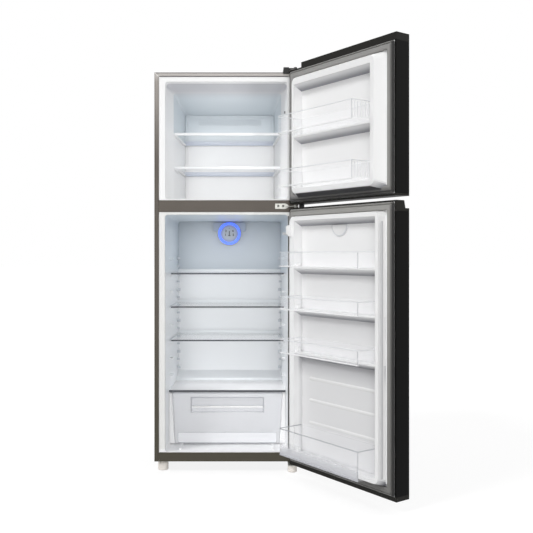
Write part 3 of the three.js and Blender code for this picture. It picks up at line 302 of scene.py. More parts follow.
def addFaceSheen(tree, shader, sheen):
    # the outer face of each door is smoother than its folded sides
    face = min(inward.dot(vert.co) for vert in nodes["fridge_door_skin"].data.vertices)
    (near, far), (low, high, top) = sheen["depths"], sheen["heights"]
    outer = placeGroup(tree, ledgeGroup, low=low, high=high, ledge=top, back=face + near, front=face + far,
                       depthDirection=inward)["Mask"]
    tree.links.new(addMath(tree, "MULTIPLY", outer, sheen["weight"]), shader.inputs["Coat Weight"])


def makeFinish(name, given):
    look = {**finishDefaults, **given}
    base, clouded, worn = (fromBytes(*tone) for tone in look["tones"])
    material, tree, shader = newMaterial(name)
    grain = placeGroup(tree, grainGroup, scale=look["grainScale"], stretch=look["stretch"],
                       cloudScale=look["cloudScale"])
    edge = placeGroup(tree, edgeGroup, width=look["edgeWidth"], breakup=look["breakup"])
    color = mixColor(tree, addMath(tree, "MULTIPLY", grain["Cloud"], look["cloudTint"]), base, clouded)
    for band in look.get("bands", []):
        low, high = band.get("heights", anyHeight)
        near, far = band.get("depths", anyDepth)
        mask = placeGroup(tree, bandGroup, start=low, end=high, depthStart=near, depthEnd=far)["Mask"]
        strength = addMath(tree, "MULTIPLY", mask, band.get("amount", 1.0))
        color = mixColor(tree, strength, color, fromBytes(*band["tone"]))
    if "hollow" in look:
        color = shadeHollow(tree, look, color)
    color = mixColor(tree, addMath(tree, "MULTIPLY", edge["Mask"], look["wear"]), color, worn)
    if "dust" in look:
        dust = placeGroup(tree, dustGroup, amount=look["dust"])["Mask"]
        color = mixColor(tree, dust, color, fromBytes(*look["dustTone"]))
    spread = look["roughSpread"]
    roughness = addMath(tree, "MULTIPLY_ADD", grain["Cloud"], spread, look["roughness"] - spread / 2, clamp=True)
    bump = addNode(tree, "ShaderNodeBump", {"Strength": look["bump"], "Distance": look["bumpDepth"],
                                            "Height": grain["Height"], "Normal": edge["Normal"]})
    fill(tree, shader, {"Base Color": color, "Roughness": roughness, "Normal": bump.outputs["Normal"],
                        "Metallic": look["metallic"], "Specular IOR Level": look["specular"],
                        "Coat Roughness": look["coatRoughness"]})
    if "sheen" in look:
        addFaceSheen(tree, shader, look["sheen"])
    return material


linerKind = {"roughness": 0.34, "grainScale": 260.0, "bump": 0.06, "edgeWidth": 0.003}
trimKind = {"cloudTint": 0.5, "roughness": 0.3, "grainScale": 600.0, "bump": 0.08, "wear": 0.2}
lineKind = {"cloudTint": 0.5, "roughness": 0.22, "grainScale": 600.0, "bump": 0.06, "wear": 0.2}
rubberKind = {"roughness": 0.62, "grainScale": 1600.0, "specular": 0.3}
enamelKind = {"cloudTint": 0.7, "metallic": 0.15, "bump": 0.12, "specular": 0.3}
blackKind = {"roughness": 0.5, "grainScale": 1400.0, "wear": 0.5}
metalKind = {"cloudTint": 0.8, "metallic": 1.0, "cloudScale": 30.0, "wear": 0.5}
grooveKind = {"grainScale": 400.0, "bump": 0.06, "wear": 0.1}
# painted shade on the free side of each seal, darker towards its rim
sealEdgeShade = [  # the free side of each seal turns dark towards its rim
    {"depths": (-0.5215, -0.5265), "tone": (112, 111, 109)},
    {"depths": (-0.5255, -0.5305), "tone": (42, 42, 42)},
]
finishes = {
    "framePaint": {
        **enamelKind, "tones": ((84, 77, 70), (74, 68, 60), (104, 98, 92)), "stretch": (1, 1, 0.05),
        "wear": 0.4,
        # painted shade darkens the frame towards the floor, a painted reflection lightens it towards the top, and a
        # painted highlight runs along the top member
        "bands": [
            {"heights": (0.9, 0.1), "tone": (66, 62, 50), "amount": 0.9},
            {"heights": (1.24, 1.72), "tone": (162, 156, 151), "amount": 0.85},
            {"heights": (1.62, 1.656), "tone": (182, 178, 175), "amount": 0.75},
        ],
    },
    # painted shade for the frame's folds, and a painted highlight for its mitre
    "frameFoldShade": {**enamelKind, "tones": ((64, 62, 60), (52, 50, 48), (150, 146, 142))},
    "frameMitreHighlight": {
        **enamelKind, "tones": ((214, 212, 208), (196, 193, 189), (235, 234, 232)), "roughness": 0.34,
        "wear": 0.4, "metallic": 0.2, "specular": 0.4,
    },
    "sidePaint": {
        "tones": ((120, 116, 111), (108, 104, 99), (160, 157, 151)), "roughness": 0.42, "grainScale": 700.0,
        "wear": 0.4, "metallic": 0.3,
    },
    "doorPaint": {
        "tones": ((16, 16, 15), (11, 11, 11), (52, 52, 52)), "bump": 0.1, "specular": 0.06,
        "coatRoughness": 0.4, "sheen": {"weight": 0.48, "depths": (0.0004, 0.002), "heights": (-2.0, -1.9, 5.0)},
        # painted shade: the doors turn darker towards the floor
        "bands": [{"heights": (1.0, 0.3), "tone": (7, 7, 7), "amount": 0.85}],
    },
    "capPlastic": {
        **blackKind, "tones": ((34, 33, 30), (24, 23, 22), (66, 64, 58)), "bump": 0.3, "specular": 0.12,
    },
    "gasketRubber": {
        **rubberKind, "tones": ((124, 123, 121), (114, 113, 111), (150, 149, 146)), "wear": 0.2,
        # painted light: the lower door's seal is lighter towards the top
        "bands": [{"heights": (0.1, 1.02), "tone": (158, 157, 154)}, *sealEdgeShade],
    },
    # painted shade: the upper door's seal is darker along its bottom run, in the shade under the raised liner
    "freezerGasketShaded": {
        **rubberKind, "tones": ((84, 84, 83), (74, 74, 73), (120, 119, 117)),
        "bands": [{"heights": (1.125, 1.15), "tone": (150, 149, 147)}, *sealEdgeShade],
    },
    "linerPlastic": {
        **linerKind, "tones": ((251, 251, 251), (247, 247, 248), (250, 250, 250)),
        # painted shade: a bluish shade deep in the freezer above its shelf, and a grey shade on the ceiling of its
        # mouth
        "bands": [
            {"heights": (1.4335, 1.4365), "depths": (0.118, 0.132), "tone": (220, 227, 232)},
            {"heights": (1.596, 1.612), "depths": (0.002, 0.012), "tone": (206, 206, 210)},
        ],
    },
    "fridgeLinerPlastic": {
        **linerKind, "tones": ((238, 238, 236), (234, 234, 233), (246, 246, 245)),
        # inside the opening the tone is a touch cooler; painted light brightens the floor below the drawer; painted
        # bluish shade fills the space above the top shelf, darker at the back
        "bands": [
            {"depths": (0.0, 0.02), "tone": (237, 239, 241)},
            {"heights": (0.1, 0.088), "tone": (252, 252, 253)},
            {"heights": (0.823, 0.842), "depths": (-0.012, 0.0), "tone": (222, 229, 234)},
            {"heights": (0.823, 0.842), "depths": (0.425, 0.445), "tone": (192, 200, 207)},
        ],
    },
    # the door liners carry painted shade in their hollows
    "doorLinerPlastic": {
        **linerKind, "tones": ((250, 250, 250), (246, 246, 246), (253, 253, 253)),
        "hollow": {  # depths in millimetres; a shade runs from where it begins to where it is full, under a ledge
            "depths": (24, 62), "floor": (1.02, 0.45, 1.09), "floorShadeTone": (228, 228, 229), "strength": 2.6,
            "underShadeTone": (140, 141, 147), "ledges": {"fridge_bin_2": 1.0, "fridge_bin_3": 0.35, "fridge_bin_4": 0.15},
            "ledgeReach": (0.1, 0.03, 0.004), "ledgeShadeTone": (184, 184, 187),
        },
    },
    "doorRibPlastic": {
        **linerKind, "tones": ((238, 238, 238), (233, 233, 233), (250, 250, 250)), "edgeWidth": 0.0012,
    },
    "footPlastic": {
        "tones": ((255, 250, 244), (244, 236, 227), (250, 242, 232)), "cloudTint": 0.7, "roughness": 0.5,
        "wear": 0.4,
    },
    "blackPlastic": {
        **blackKind, "tones": ((28, 28, 29), (20, 20, 20), (75, 75, 75)), "bump": 0.35, "specular": 0.4,
        "dust": 0.6,
    },
    "hingeBlack": {
        **blackKind, "tones": ((12, 12, 12), (6, 6, 6), (70, 70, 70)), "roughness": 0.42, "wear": 0.6,
        "specular": 0.25, "dust": 0.2,
    },
    "plainSteel": {
        **metalKind, "tones": ((168, 170, 172), (150, 152, 155), (200, 200, 202)), "roughness": 0.36,
        "grainScale": 620.0, "stretch": (1, 1, 0.06), "bump": 0.12, "cloudScale": 9.0, "roughSpread": 0.06,
        "metallic": 0.9, "dust": 0.5,
    },
    "hingeSteel": {
        **metalKind, "tones": ((190, 190, 184), (140, 140, 134), (225, 225, 225)), "roughness": 0.38,
        "stretch": (0.1, 1, 1), "wear": 0.6, "metallic": 0.6,
    },
    "foamYellow": {
        "tones": ((232, 214, 160), (214, 190, 130), (240, 225, 180)), "cloudTint": 0.9, "roughness": 0.9,
        "grainScale": 700.0, "bump": 0.7, "bumpDepth": 0.001, "wear": 0.1,
    },
    "shelfTrimWhite": {**trimKind, "tones": ((246, 247, 248), (238, 240, 242), (250, 250, 250))},
    "shelfTrimBlue": {**trimKind, "tones": ((222, 227, 240), (212, 218, 232), (222, 228, 238))},
    "shelfTrimPale": {**trimKind, "tones": ((236, 239, 241), (226, 230, 233), (240, 243, 245))},
    "shelfEdgeDark": {
        "tones": ((74, 76, 82), (58, 60, 66), (130, 134, 140)), "roughness": 0.25, "grainScale": 300.0,
        "bump": 0.08,
    },
    "clipGrey": {"tones": ((204, 208, 213), (190, 195, 201), (190, 194, 200)), "bump": 0.1},
    "lipWhite": {
        **trimKind, "tones": ((254, 254, 254), (250, 250, 251), (254, 254, 254)), "cloudTint": 0.4,
        "roughness": 0.2, "bump": 0.04,
    },
    "crisperBright": {**lineKind, "tones": ((236, 237, 240), (229, 231, 235), (252, 252, 254))},
    # painted shade for the lowest door bin's bottom edge
    "binShadeEdge": {
        **trimKind, "tones": ((192, 193, 198), (177, 178, 184), (226, 228, 233)), "cloudTint": 0.8,
        "grainScale": 300.0, "edgeWidth": 0.0025, "wear": 0.4,
    },
    # painted shade for a groove down the door liner
    "linerGrooveShade": {**grooveKind, "tones": ((218, 218, 220), (210, 210, 213), (218, 218, 220))},
    # painted shade for the rim round the deodoriser cover
    "discRimShade": {**grooveKind, "tones": ((222, 223, 226), (214, 215, 219), (222, 223, 226))},
    "pocketLine": {**lineKind, "tones": ((164, 166, 173), (150, 152, 160), (205, 207, 212)), "roughness": 0.25},
    "crisperLine": {
        **lineKind, "tones": ((200, 202, 208), (188, 190, 198), (225, 227, 232)), "roughness": 0.25,
    },
    "binLine": {**lineKind, "tones": ((242, 243, 246), (234, 236, 240), (235, 236, 240))},
    "binLineDark": {**lineKind, "tones": ((178, 180, 185), (164, 166, 172), (210, 212, 216))},
    "sealShadow": {"tones": ((62, 62, 64), (48, 48, 50), (96, 96, 98)), "cloudTint": 0.7, "roughness": 0.6},
    "hingePaint": {
        "tones": ((108, 106, 102), (90, 88, 85), (150, 148, 144)), "cloudTint": 0.7, "roughness": 0.42,
        "grainScale": 700.0, "wear": 0.6, "metallic": 0.4,
    },
    "screwDark": {
        **metalKind, "tones": ((120, 120, 116), (86, 86, 84), (170, 170, 168)), "roughness": 0.35,
        "cloudScale": 60.0, "wear": 0.6, "metallic": 0.8,
    },
    "printGrey": {
        "tones": ((30, 36, 46), (22, 28, 36), (30, 36, 46)), "cloudTint": 0.5, "roughness": 0.5, "bump": 0.05,
        "wear": 0.1,
    },
    "fanPlastic": {
        "tones": ((232, 233, 234), (220, 221, 223), (245, 245, 245)), "roughness": 0.45, "bump": 0.15,
    },
    "finAluminium": {
        **metalKind, "tones": ((205, 207, 210), (184, 187, 190), (225, 226, 228)), "roughness": 0.32,
        "grainScale": 500.0, "stretch": (1, 1, 0.1), "cloudScale": 20.0, "wear": 0.4,
    },
    "heaterSteel": {
        **metalKind, "tones": ((150, 146, 140), (112, 104, 96), (180, 172, 160)), "cloudTint": 0.9,
        "grainScale": 500.0, "wear": 0.4,
    },
    "copperTube": {
        **metalKind, "tones": ((202, 128, 92), (140, 82, 58), (225, 160, 125)), "roughness": 0.34,
        "grainScale": 700.0, "bump": 0.15,
    },
    "compressorPaint": {
        "tones": ((34, 34, 36), (24, 24, 26), (80, 80, 82)), "cloudTint": 0.7, "grainScale": 800.0,
        "bump": 0.35, "wear": 0.6, "dust": 0.9,
    },
    "rollerPlastic": {
        "tones": ((70, 70, 72), (54, 54, 56), (110, 110, 112)), "cloudTint": 0.7, "roughness": 0.55,
        "bump": 0.3, "wear": 0.6,
    },
    "ductPlastic": {
        **trimKind, "tones": ((178, 188, 198), (166, 176, 188), (196, 204, 212)), "roughness": 0.4, "wear": 0.3,
    },
    "dialPlastic": {
        "tones": ((190, 197, 206), (176, 184, 194), (205, 210, 216)), "cloudTint": 0.5, "bump": 0.1,
    },
}
made = {name: makeFinish(name, look) for name, look in finishes.items()}

# Clear pieces: alpha is the cover seen face on, then edge on; rim is what a cut edge adds.
clearLooks = {
    "clearPlastic": {"tone": (246, 247, 250), "alpha": (0.04, 0.12), "roughness": 0.12, "rim": 0.4},
    "frostedPlastic": {"tone": (236, 237, 240), "alpha": (0.5, 0.62), "roughness": 0.3, "rim": 0.4},
    "frostedBright": {"tone": (253, 253, 254), "alpha": (0.55, 0.75), "roughness": 0.2, "rim": 0.4},
    "shelfGlass": {"tone": (240, 246, 246), "alpha": (0.04, 0.16), "roughness": 0.08, "rim": 0.0},
    # painted shade: a grey sheet on the lowest door bin
    "binShadeSheet": {"tone": (206, 207, 211), "alpha": (0.8, 0.95), "roughness": 0.3, "rim": 0.0},
    "coverGlass": {"tone": (252, 252, 253), "alpha": (0.3, 0.6), "roughness": 0.25, "rim": 0.0},
}
clearShade = 0.15  # share of its cover that a clear piece's shadow has
clearGrain = {"scale": 300.0, "cloudScale": 6.0}
clearEdge = {"width": 0.001, "breakup": 0.4}
clearBlend = 0.35
clearCloud = {"darker": 0.96, "rougher": 0.1}


def cloudTone(tree, cloud, tone, darker):
    return mixColor(tree, cloud, tone, tuple(v * darker for v in tone[:3]) + (1.0,))


def makeClear(name, look):
    material, tree, shader = newMaterial(name)
    grain = placeGroup(tree, grainGroup, **clearGrain)
    faceOn, edgeOn = look["alpha"]
    facing = addNode(tree, "ShaderNodeLayerWeight", {"Blend": clearBlend}).outputs["Facing"]
    alpha = addMath(tree, "MULTIPLY_ADD", facing, edgeOn - faceOn, faceOn)
    if look["rim"]:
        edge = placeGroup(tree, edgeGroup, **clearEdge)
        alpha = addMath(tree, "MULTIPLY_ADD", edge["Mask"], look["rim"], alpha, clamp=True)
        tree.links.new(edge["Normal"], shader.inputs["Normal"])
    shadow = addNode(tree, "ShaderNodeLightPath").outputs["Is Shadow Ray"]
    lit = addMath(tree, "MULTIPLY_ADD", shadow, clearShade - 1, 1.0)
    color = cloudTone(tree, grain["Cloud"], fromBytes(*look["tone"]), clearCloud["darker"])
    roughness = addMath(tree, "MULTIPLY_ADD", grain["Cloud"], clearCloud["rougher"], look["roughness"])
    fill(tree, shader, {"Base Color": color, "Alpha": addMath(tree, "MULTIPLY", alpha, lit), "Roughness": roughness})
    return material


def fadeWithHeight(material, low, high):
    # painted shade: the sheet grows more opaque towards its lower edge
    tree = material.node_tree
    alpha = tree.nodes["Principled BSDF"].inputs["Alpha"]
    mask = placeGroup(tree, bandGroup, start=high, end=low)["Mask"]
    tree.links.new(addMath(tree, "MULTIPLY", alpha.links[0].from_socket, mask), alpha)


glowLook = {
    "tone": (70, 112, 255), "strength": 0.9, "roughness": 0.3, "scale": 200.0, "cloudScale": 30.0, "darker": 0.8,
}


def makeGlow(name, look):
    material, tree, shader = newMaterial(name)
    cloud = placeGroup(tree, grainGroup, scale=look["scale"], cloudScale=look["cloudScale"])["Cloud"]
    tone = cloudTone(tree, cloud, fromBytes(*look["tone"]), look["darker"])
    fill(tree, shader, {"Base Color": tone, "Emission Color": tone, "Emission Strength": look["strength"],
                        "Roughness": look["roughness"]})
    return material


made.update({name: makeClear(name, look) for name, look in clearLooks.items()})
made["blueGlow"] = makeGlow("blueGlow", glowLook)

nodeFinishes = {
    "sidePaint": ["cabinet_shell"],
    "framePaint": ["mullion_rail", "base_rail"],
    "plainSteel": ["base_pan", "rear_panel"],
    "blackPlastic": ["compressor_cover", "power_inlet", "fan_motor", "drip_tray", "freezer_sensor"],
    "hingeBlack": ["top_hinge_cover"],
    "linerPlastic": ["freezer_liner", "evaporator_cover"],
    "fridgeLinerPlastic": ["fridge_liner"],
    "doorLinerPlastic": ["freezer_door_liner", "fridge_door_liner"],
    "doorRibPlastic": ["deodoriser_cover"],
    "doorPaint": ["freezer_door_skin", "fridge_door_skin"],
    "capPlastic": [side + "_door_" + end for side in ("freezer", "fridge") for end in ("top_cap", "bottom_cap")],
    "gasketRubber": ["freezer_door_gasket", "fridge_door_gasket"],
    "foamYellow": ["cabinet_foam", "freezer_door_foam", "fridge_door_foam"],
    "shelfGlass": ["crisper_cover"] + [name for name in nodes if "_shelf_" in name],
    "clearPlastic": [name for name in nodes if "_bin_" in name],
    "frostedPlastic": ["crisper_drawer"],
    "finAluminium": ["evaporator"],
    "heaterSteel": ["defrost_heater"],
    "fanPlastic": ["fan_blade", "drain_tube", "door_switch", "switch_plunger"],
    "compressorPaint": ["compressor"],
    "copperTube": ["filter_drier", "discharge_pipe"],
    "ductPlastic": ["air_duct"],
    "blueGlow": ["light_ring"],
    "dialPlastic": ["control_dial"],
    "hingeSteel": ["top_hinge", "middle_hinge", "bottom_hinge"],
    "footPlastic": ["front_foot_left", "front_foot_right"],
    "rollerPlastic": ["rear_roller_left", "rear_roller_right"],
}
for finish, names in nodeFinishes.items():
    for name in names:
        nodes[name].data.materials.clear()
        nodes[name].data.materials.append(made[finish])
print("materials made:", len(made))

# Small helpers that build mesh forms in millimetres.


def roundedRect(left, right, low, high, radius, steps=5):
    points = []
    for x, z, start in ((right - radius, low + radius, -90), (right - radius, high - radius, 0),
                        (left + radius, high - radius, 90), (left + radius, low + radius, 180)):
        for step in range(steps + 1):
            angle = math.radians(start + 90 * step / steps)
            points.append((x + radius * math.cos(angle), z + radius * math.sin(angle)))
    return points


def insetRing(edges, inset, y, corner, steps=5):
    left, right, low, high = edges
    return [(x, y, z) for x, z in roundedRect(left + inset, right - inset, low + inset, high - inset, corner, steps)]


def addLoft(form, rings, capFirst=False, capLast=False, cyclic=True):
    rows = [[form.verts.new(point) for point in ring] for ring in rings]
    count = len(rows[0])
    for first, second in zip(rows, rows[1:]):
        for index in range(count if cyclic else count - 1):
            after = (index + 1) % count
            form.faces.new((first[index], first[after], second[after], second[index]))
    if capFirst:
        form.faces.new(rows[0][::-1])
    if capLast:
        form.faces.new(rows[-1])


def addBlock(form, x, y, z, soft=1.0, steps=2):
    local = bmesh.new()
    bmesh.ops.create_cube(local, size=1)
    for vert in local.verts:
        vert.co = Vector([span[0] if side < 0 else span[1] for side, span in zip(vert.co, (x, y, z))])
    if soft:
        bmesh.ops.bevel(local, geom=local.edges[:], offset=soft, segments=steps, profile=0.5, affect="EDGES")
    mesh = bpy.data.meshes.new("part")
    local.to_mesh(mesh)
    local.free()
    form.from_mesh(mesh)
    bpy.data.meshes.remove(mesh)


def turned(along, a, b, t):
    return {"x": (t, a, b), "y": (a, t, b), "z": (a, b, t)}[along]


def addProfile(form, outline, span, along="x"):
    addLoft(form, [[turned(along, a, b, t) for a, b in outline] for t in span], True, True)


def addLathe(form, profile, centre, axis="z", steps=28):
    rings = []
    for radius, height in profile:
        ring = []
        for step in range(steps):
            angle = 2 * math.pi * step / steps
            offset = turned(axis, radius * math.cos(angle), radius * math.sin(angle), height)
            ring.append(tuple(c + o for c, o in zip(centre, offset)))
        rings.append(ring)
    addLoft(form, rings, True, True)


# A screw head, from its rim to its recess: share of the radius, and height. It closes on a point this small.
screwHead = [(1.0, 0), (1.0, 0.8), (0.8, 2.0), (0.45, 2.5), (0.3, 1.4)]
tinyPoint = 0.05


def addScrew(form, x, y, z, radius, face=-1):
    outline = [(radius * wide, face * tall) for wide, tall in screwHead]
    addLathe(form, outline + [(tinyPoint, outline[-1][1])], (x, y, z), "y", 20)


def finishForm(form, name, finish, body, slot, place=onCabinet, smooth=34, replaced=None):
    for vert in form.verts:
        vert.co = place(*vert.co)
    bmesh.ops.recalc_face_normals(form, faces=form.faces[:])
    mesh = bpy.data.meshes.new(name)
    form.to_mesh(mesh)
    form.free()
    mesh.polygons.foreach_set("use_smooth", [True] * len(mesh.polygons))
    mesh.set_sharp_from_angle(angle=math.radians(smooth))
    mesh.materials.append(made[finish])
    piece = newObject(name, mesh)
    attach(piece, body)
    if replaced:
        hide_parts(replaced)


def makeBlocks(blocks, *details, **more):
    # a piece made of soft-edged blocks: each is its x, y and z spans, then the softness and its steps
    form = bmesh.new()
    for block in blocks:
        addBlock(form, *block)
    finishForm(form, *details, **more)


def spanOf(node):
    # the x, y and z spans of a CAD node
    return [((low - zero) * 1000, (high - zero) * 1000) for low, high, zero in zip(*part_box(node), cabinetZero)]


# The painted steel frame round the two openings, folded in from the sides.
frontFrame = {
    "half": 300, "top": 1664, "bottom": 43, "sideWidth": 19, "topWidth": 18,
    "profile": [(0, 1.4), (0.3, 0.2), (1.6, -0.6), (4.2, -0.7), (5.0, -0.25), (5.8, -0.7), (15.4, -0.7), (16.2, -0.1),
                (17.0, -0.6), (18.6, -0.4), (19.0, 0.6)],
    "foldShades": ((1661.6, 1663.6), (1646.4, 1649.2)), "foldShadeEnd": 258, "foldShadeDepth": (-1.0, -0.4),
    "mitreWidth": 2.6, "mitreOuter": 0.8, "mitreInner": 0.4, "mitreDepth": (-1.3, -1.1, -0.5, -0.3),
}


def makeFrontFrame():
    f = frontFrame
    half, top, bottom, ratio = f["half"], f["top"], f["bottom"], f["topWidth"] / f["sideWidth"]
    corners = ((-half, bottom, 1, 0), (-half, top, 1, -ratio), (half, top, -1, -ratio), (half, bottom, -1, 0))
    form = bmesh.new()
    addLoft(form, [[(x + dx * inset, y, z + dz * inset) for inset, y in f["profile"]] for x, z, dx, dz in corners],
            cyclic=False)
    finishForm(form, "cabinetFrontFrame", "framePaint", "cabinet", "cabinet_steel", smooth=20)


def makeFrameShadeAndHighlight():
    # painted shade: dark strips along the folds of the top member; painted highlight: a bright strip along the mitre
    # in its corner
    f = frontFrame
    wide, ratio = f["mitreWidth"], f["sideWidth"] / f["topWidth"]
    makeBlocks([((-f["half"] + (f["top"] - low) * ratio + wide, f["foldShadeEnd"]), f["foldShadeDepth"], (low, high), 0.3)
                for low, high in f["foldShades"]], "cabinetFrameFoldShade", "frameFoldShade", "cabinet", "cabinet_steel")
    left, top = -f["half"] + f["mitreOuter"], f["top"] - f["mitreOuter"]
    right, low = -f["half"] + f["sideWidth"] - f["mitreInner"], f["top"] - f["topWidth"]
    mitre = bmesh.new()
    addProfile(mitre, [(left, top - wide), (left, top), (left + wide * 0.6, top), (right, low + wide * 0.9),
                       (right, low + f["mitreInner"]), (right - wide, low + f["mitreInner"])], f["mitreDepth"], "y")
    finishForm(mitre, "cabinetFrameMitreHighlight", "frameMitreHighlight", "cabinet", "cabinet_steel")


makeFrontFrame()
makeFrameShadeAndHighlight()

# Magnetic seals with a bellows between two lips.
seal = {
    "freeEdge": -575.5, "hingeEdge": 3.5, "corner": 7, "tightest": 0.6, "shrink": 0.2,
    "profile": [(0.0, 21.4), (0.0, 23.0), (1.0, 24.6), (2.6, 28.4), (4.2, 29.6), (5.6, 28.6), (6.4, 25.4),
                (7.6, 24.6), (8.8, 25.8), (9.8, 29.6), (11.4, 31.3), (13.4, 31.5), (17.8, 31.1), (18.6, 31.5),
                (24.6, 31.5), (26.6, 30.4), (27.8, 27.0), (28.0, 21.4)],
}


def makeSeal(side, finish):
    edges = (seal["freeEdge"], seal["hingeEdge"], *spanOf(side + "_door_gasket")[2])
    form = bmesh.new()
    addLoft(form, [insetRing(edges, inset, y, max(seal["corner"] - inset * seal["shrink"], seal["tightest"]), 4)
                   for inset, y in seal["profile"]])
    finishForm(form, side + "DoorSeal", finish, side + "_door", "gasket", onDoor, 28, side + "_door_gasket")


makeSeal("freezer", "freezerGasketShaded")
makeSeal("fridge", "gasketRubber")
print("frame and seals made")

# Glass shelves with moulded edges.
shelfLook = {
    "glass": 4.5, "backUp": 11.6, "backDown": 4.5, "sideUp": 0.9, "sideDown": 1.6, "sideWidth": 3.4,
    "freezer": {"frontDepth": 15, "frontUp": 2.5, "frontDown": 9.5,
                "front": "shelfTrimWhite", "back": "shelfTrimBlue", "slot": "liner"},
    "fridge": {"frontDepth": 4, "frontUp": 0.8, "frontDown": 5.6,
               "front": "shelfEdgeDark", "back": "shelfTrimPale", "slot": "glass"},
}


def makeShelf(node, body, kind, frontDown=None, pane="shelfGlass"):
    s, look = shelfLook, shelfLook[kind]
    (left, right), (front, back), (low, _) = spanOf(node)
    top = low + s["glass"]
    deep, up, down = look["frontDepth"], look["frontUp"], frontDown or look["frontDown"]
    makeBlocks([((left + 2, right - 2), (front + deep - 2, back - 2), (low + 0.2, top - 0.1), 0.8)],
               node + "Glass", pane, body, "glass", replaced=node)
    nose = bmesh.new()
    outline = [(front + deep, top + up * 0.4), (front + deep * 0.7, top + up), (front + deep * 0.25, top + up),
               (front + 0.6, top + up * 0.3), (front, top - down * 0.3), (front + 0.3, top - down * 0.75),
               (front + deep * 0.2, top - down), (front + deep * 0.6, top - down), (front + deep, top - down * 0.7)]
    addProfile(nose, outline, (left + 0.6, left + 1.6, right - 1.6, right - 0.6))
    finishForm(nose, node + "FrontEdge", look["front"], body, look["slot"])
    makeBlocks([((left + 1, right - 1), (back - 5, back - 0.6), (low - s["backDown"], low - 0.2), 0.9),
                ((left + 1, right - 1), (back - 4.4, back - 0.4), (low - 0.4, top + s["backUp"]), 1.2)],
               node + "BackEdge", look["back"], body, "liner")
    for name, x in (("Left", (left + 0.2, left + s["sideWidth"])), ("Right", (right - s["sideWidth"], right - 0.2))):
        makeBlocks([(x, (front + deep - 1, back - 4), (low - s["sideDown"], top + s["sideUp"]), 0.8)],
                   node + name + "Edge", "shelfTrimPale", body, "liner")


for name in sorted(nodes):
    if "_shelf_" in name:
        makeShelf(name, name, name.split("_")[0])
makeShelf("crisper_cover", "cabinet", "fridge", 8.6, "coverGlass")
print("shelves made")

# Grey clips on the ends of the rear shelf supports: long and short ones take turns. Their grey is partly painted
# shade, for the shade under and between the supports.
rearClips = {
    "top": 892.7, "pitch": 36.5, "count": 15, "depth": (413.2, 415.8), "outer": 245.6,
    "long": (230.0, 12.5), "short": (233.0, 9.5),
}


def makeRearClips():
    r = rearClips
    blocks = []
    for step in range(r["count"]):
        top = r["top"] - step * r["pitch"]
        inner, height = r["short"] if step % 2 else r["long"]
        for side in (-1, 1):
            blocks.append((sorted((side * inner, side * r["outer"])), r["depth"], (top - height, top - 0.3), 0.7))
    makeBlocks(blocks, "fridgeRearClips", "clipGrey", "cabinet", "liner")


makeRearClips()

# The panel at the back of the freezer, with a raised border and air louvres.
backPanel = {
    "corner": 12, "tightest": 5, "shrink": 0.4, "louvreHalf": 150, "louvres": 5, "louvrePitch": 6.0, "louvreTop": 24,
    "border": ((1.2, 0.0), (9.0, -0.1), (10.6, 0.9), (12.4, 0.9), (14.0, -0.2), (15.6, -0.3)),
}


def makeBackPanel():
    b = backPanel
    (left, right), (front, back), (low, high) = spanOf("evaporator_cover")
    half = b["louvreHalf"]
    form = bmesh.new()
    steps = [(0.0, back), (0.0, front + 1.2)] + [(inset, front + rise) for inset, rise in b["border"]]
    edges = (left, right, low, high)
    addLoft(form, [insetRing(edges, inset, y, max(b["corner"] - inset * b["shrink"], b["tightest"]))
                   for inset, y in steps], True, True)
    for index in range(b["louvres"]):
        z = high - b["louvreTop"] - index * b["louvrePitch"]
        outline = [(front - 0.2, z + 2.4), (front - 1.8, z - 0.4), (front - 1.2, z - 1.0), (front - 0.2, z - 0.6)]
        addProfile(form, outline, (-half, -half + 1, half - 1, half))
    finishForm(form, "freezerBackPanel", "linerPlastic", "cabinet", "liner", smooth=24, replaced="evaporator_cover")


makeBackPanel()

# Details on the front of the crisper drawer, and the white guides that fill the gap on each side of it.
crisperFront = {
    "pocketHalf": 157, "pocket": (221.8, 285.8), "lip": (240.5, 248.5), "panel": (92, 134),
    "panelInset": 26, "panelCorner": 5, "panelShrink": 0.5,
    "panelSteps": ((0, 0.4), (0.4, -0.5), (1.6, -1.0), (3.4, -1.1)),
}
crisperGuides = {"front": 127, "back": 318, "low": 86, "high": 304, "inner": (227.3, 239.1), "outer": (252.4, 248.0)}


def makeCrisperDetails():
    (left, right), (front, back), (_, high) = spanOf("crisper_drawer")
    p = crisperFront
    pocket, (pocketLow, pocketHigh), (panelLow, panelHigh) = p["pocketHalf"], p["pocket"], p["panel"]
    where = ("crisper_drawer", "clear_plastic")
    makeBlocks([((-pocket + 2, pocket - 2), (front - 0.6, front + 9), p["lip"], 2.2, 3)],
               "crisperPullLip", "lipWhite", *where)
    rim = [((x - 1.1, x + 1.1), (front - 0.5, front + 3), (pocketLow - 1, pocketHigh + 1), 0.5)
           for x in (-pocket, pocket)]
    rim.append(((-pocket, pocket), (front - 0.5, front + 3), (pocketHigh - 0.8, pocketHigh + 1.4), 0.5))
    makeBlocks(rim, "crisperPullFrame", "pocketLine", *where)
    panel = bmesh.new()
    half = right - p["panelInset"]
    edges = (-half, half, panelLow, panelHigh)
    addLoft(panel, [insetRing(edges, inset, front + rise, p["panelCorner"] - inset * p["panelShrink"], 4)
                    for inset, rise in p["panelSteps"]], False, True)
    finishForm(panel, "crisperLowerPanel", "crisperBright", *where)
    makeBlocks([((-half + 2, half - 2), (front - 0.5, front + 2), (z, z + 1.5), 0.5)
                for z in (panelLow - 1.6, panelHigh + 0.2)], "crisperLowerLines", "crisperLine", *where)
    brim = [((left + 1, right - 1), (front - 0.8, front + 4), (high - 3.4, high - 0.2), 1.0)]
    brim += [((x, x + 3), (front + 3, back - 1), (high - 3.2, high - 0.2), 0.9) for x in (left + 1, right - 4)]
    makeBlocks(brim, "crisperBrim", "crisperLine", *where)


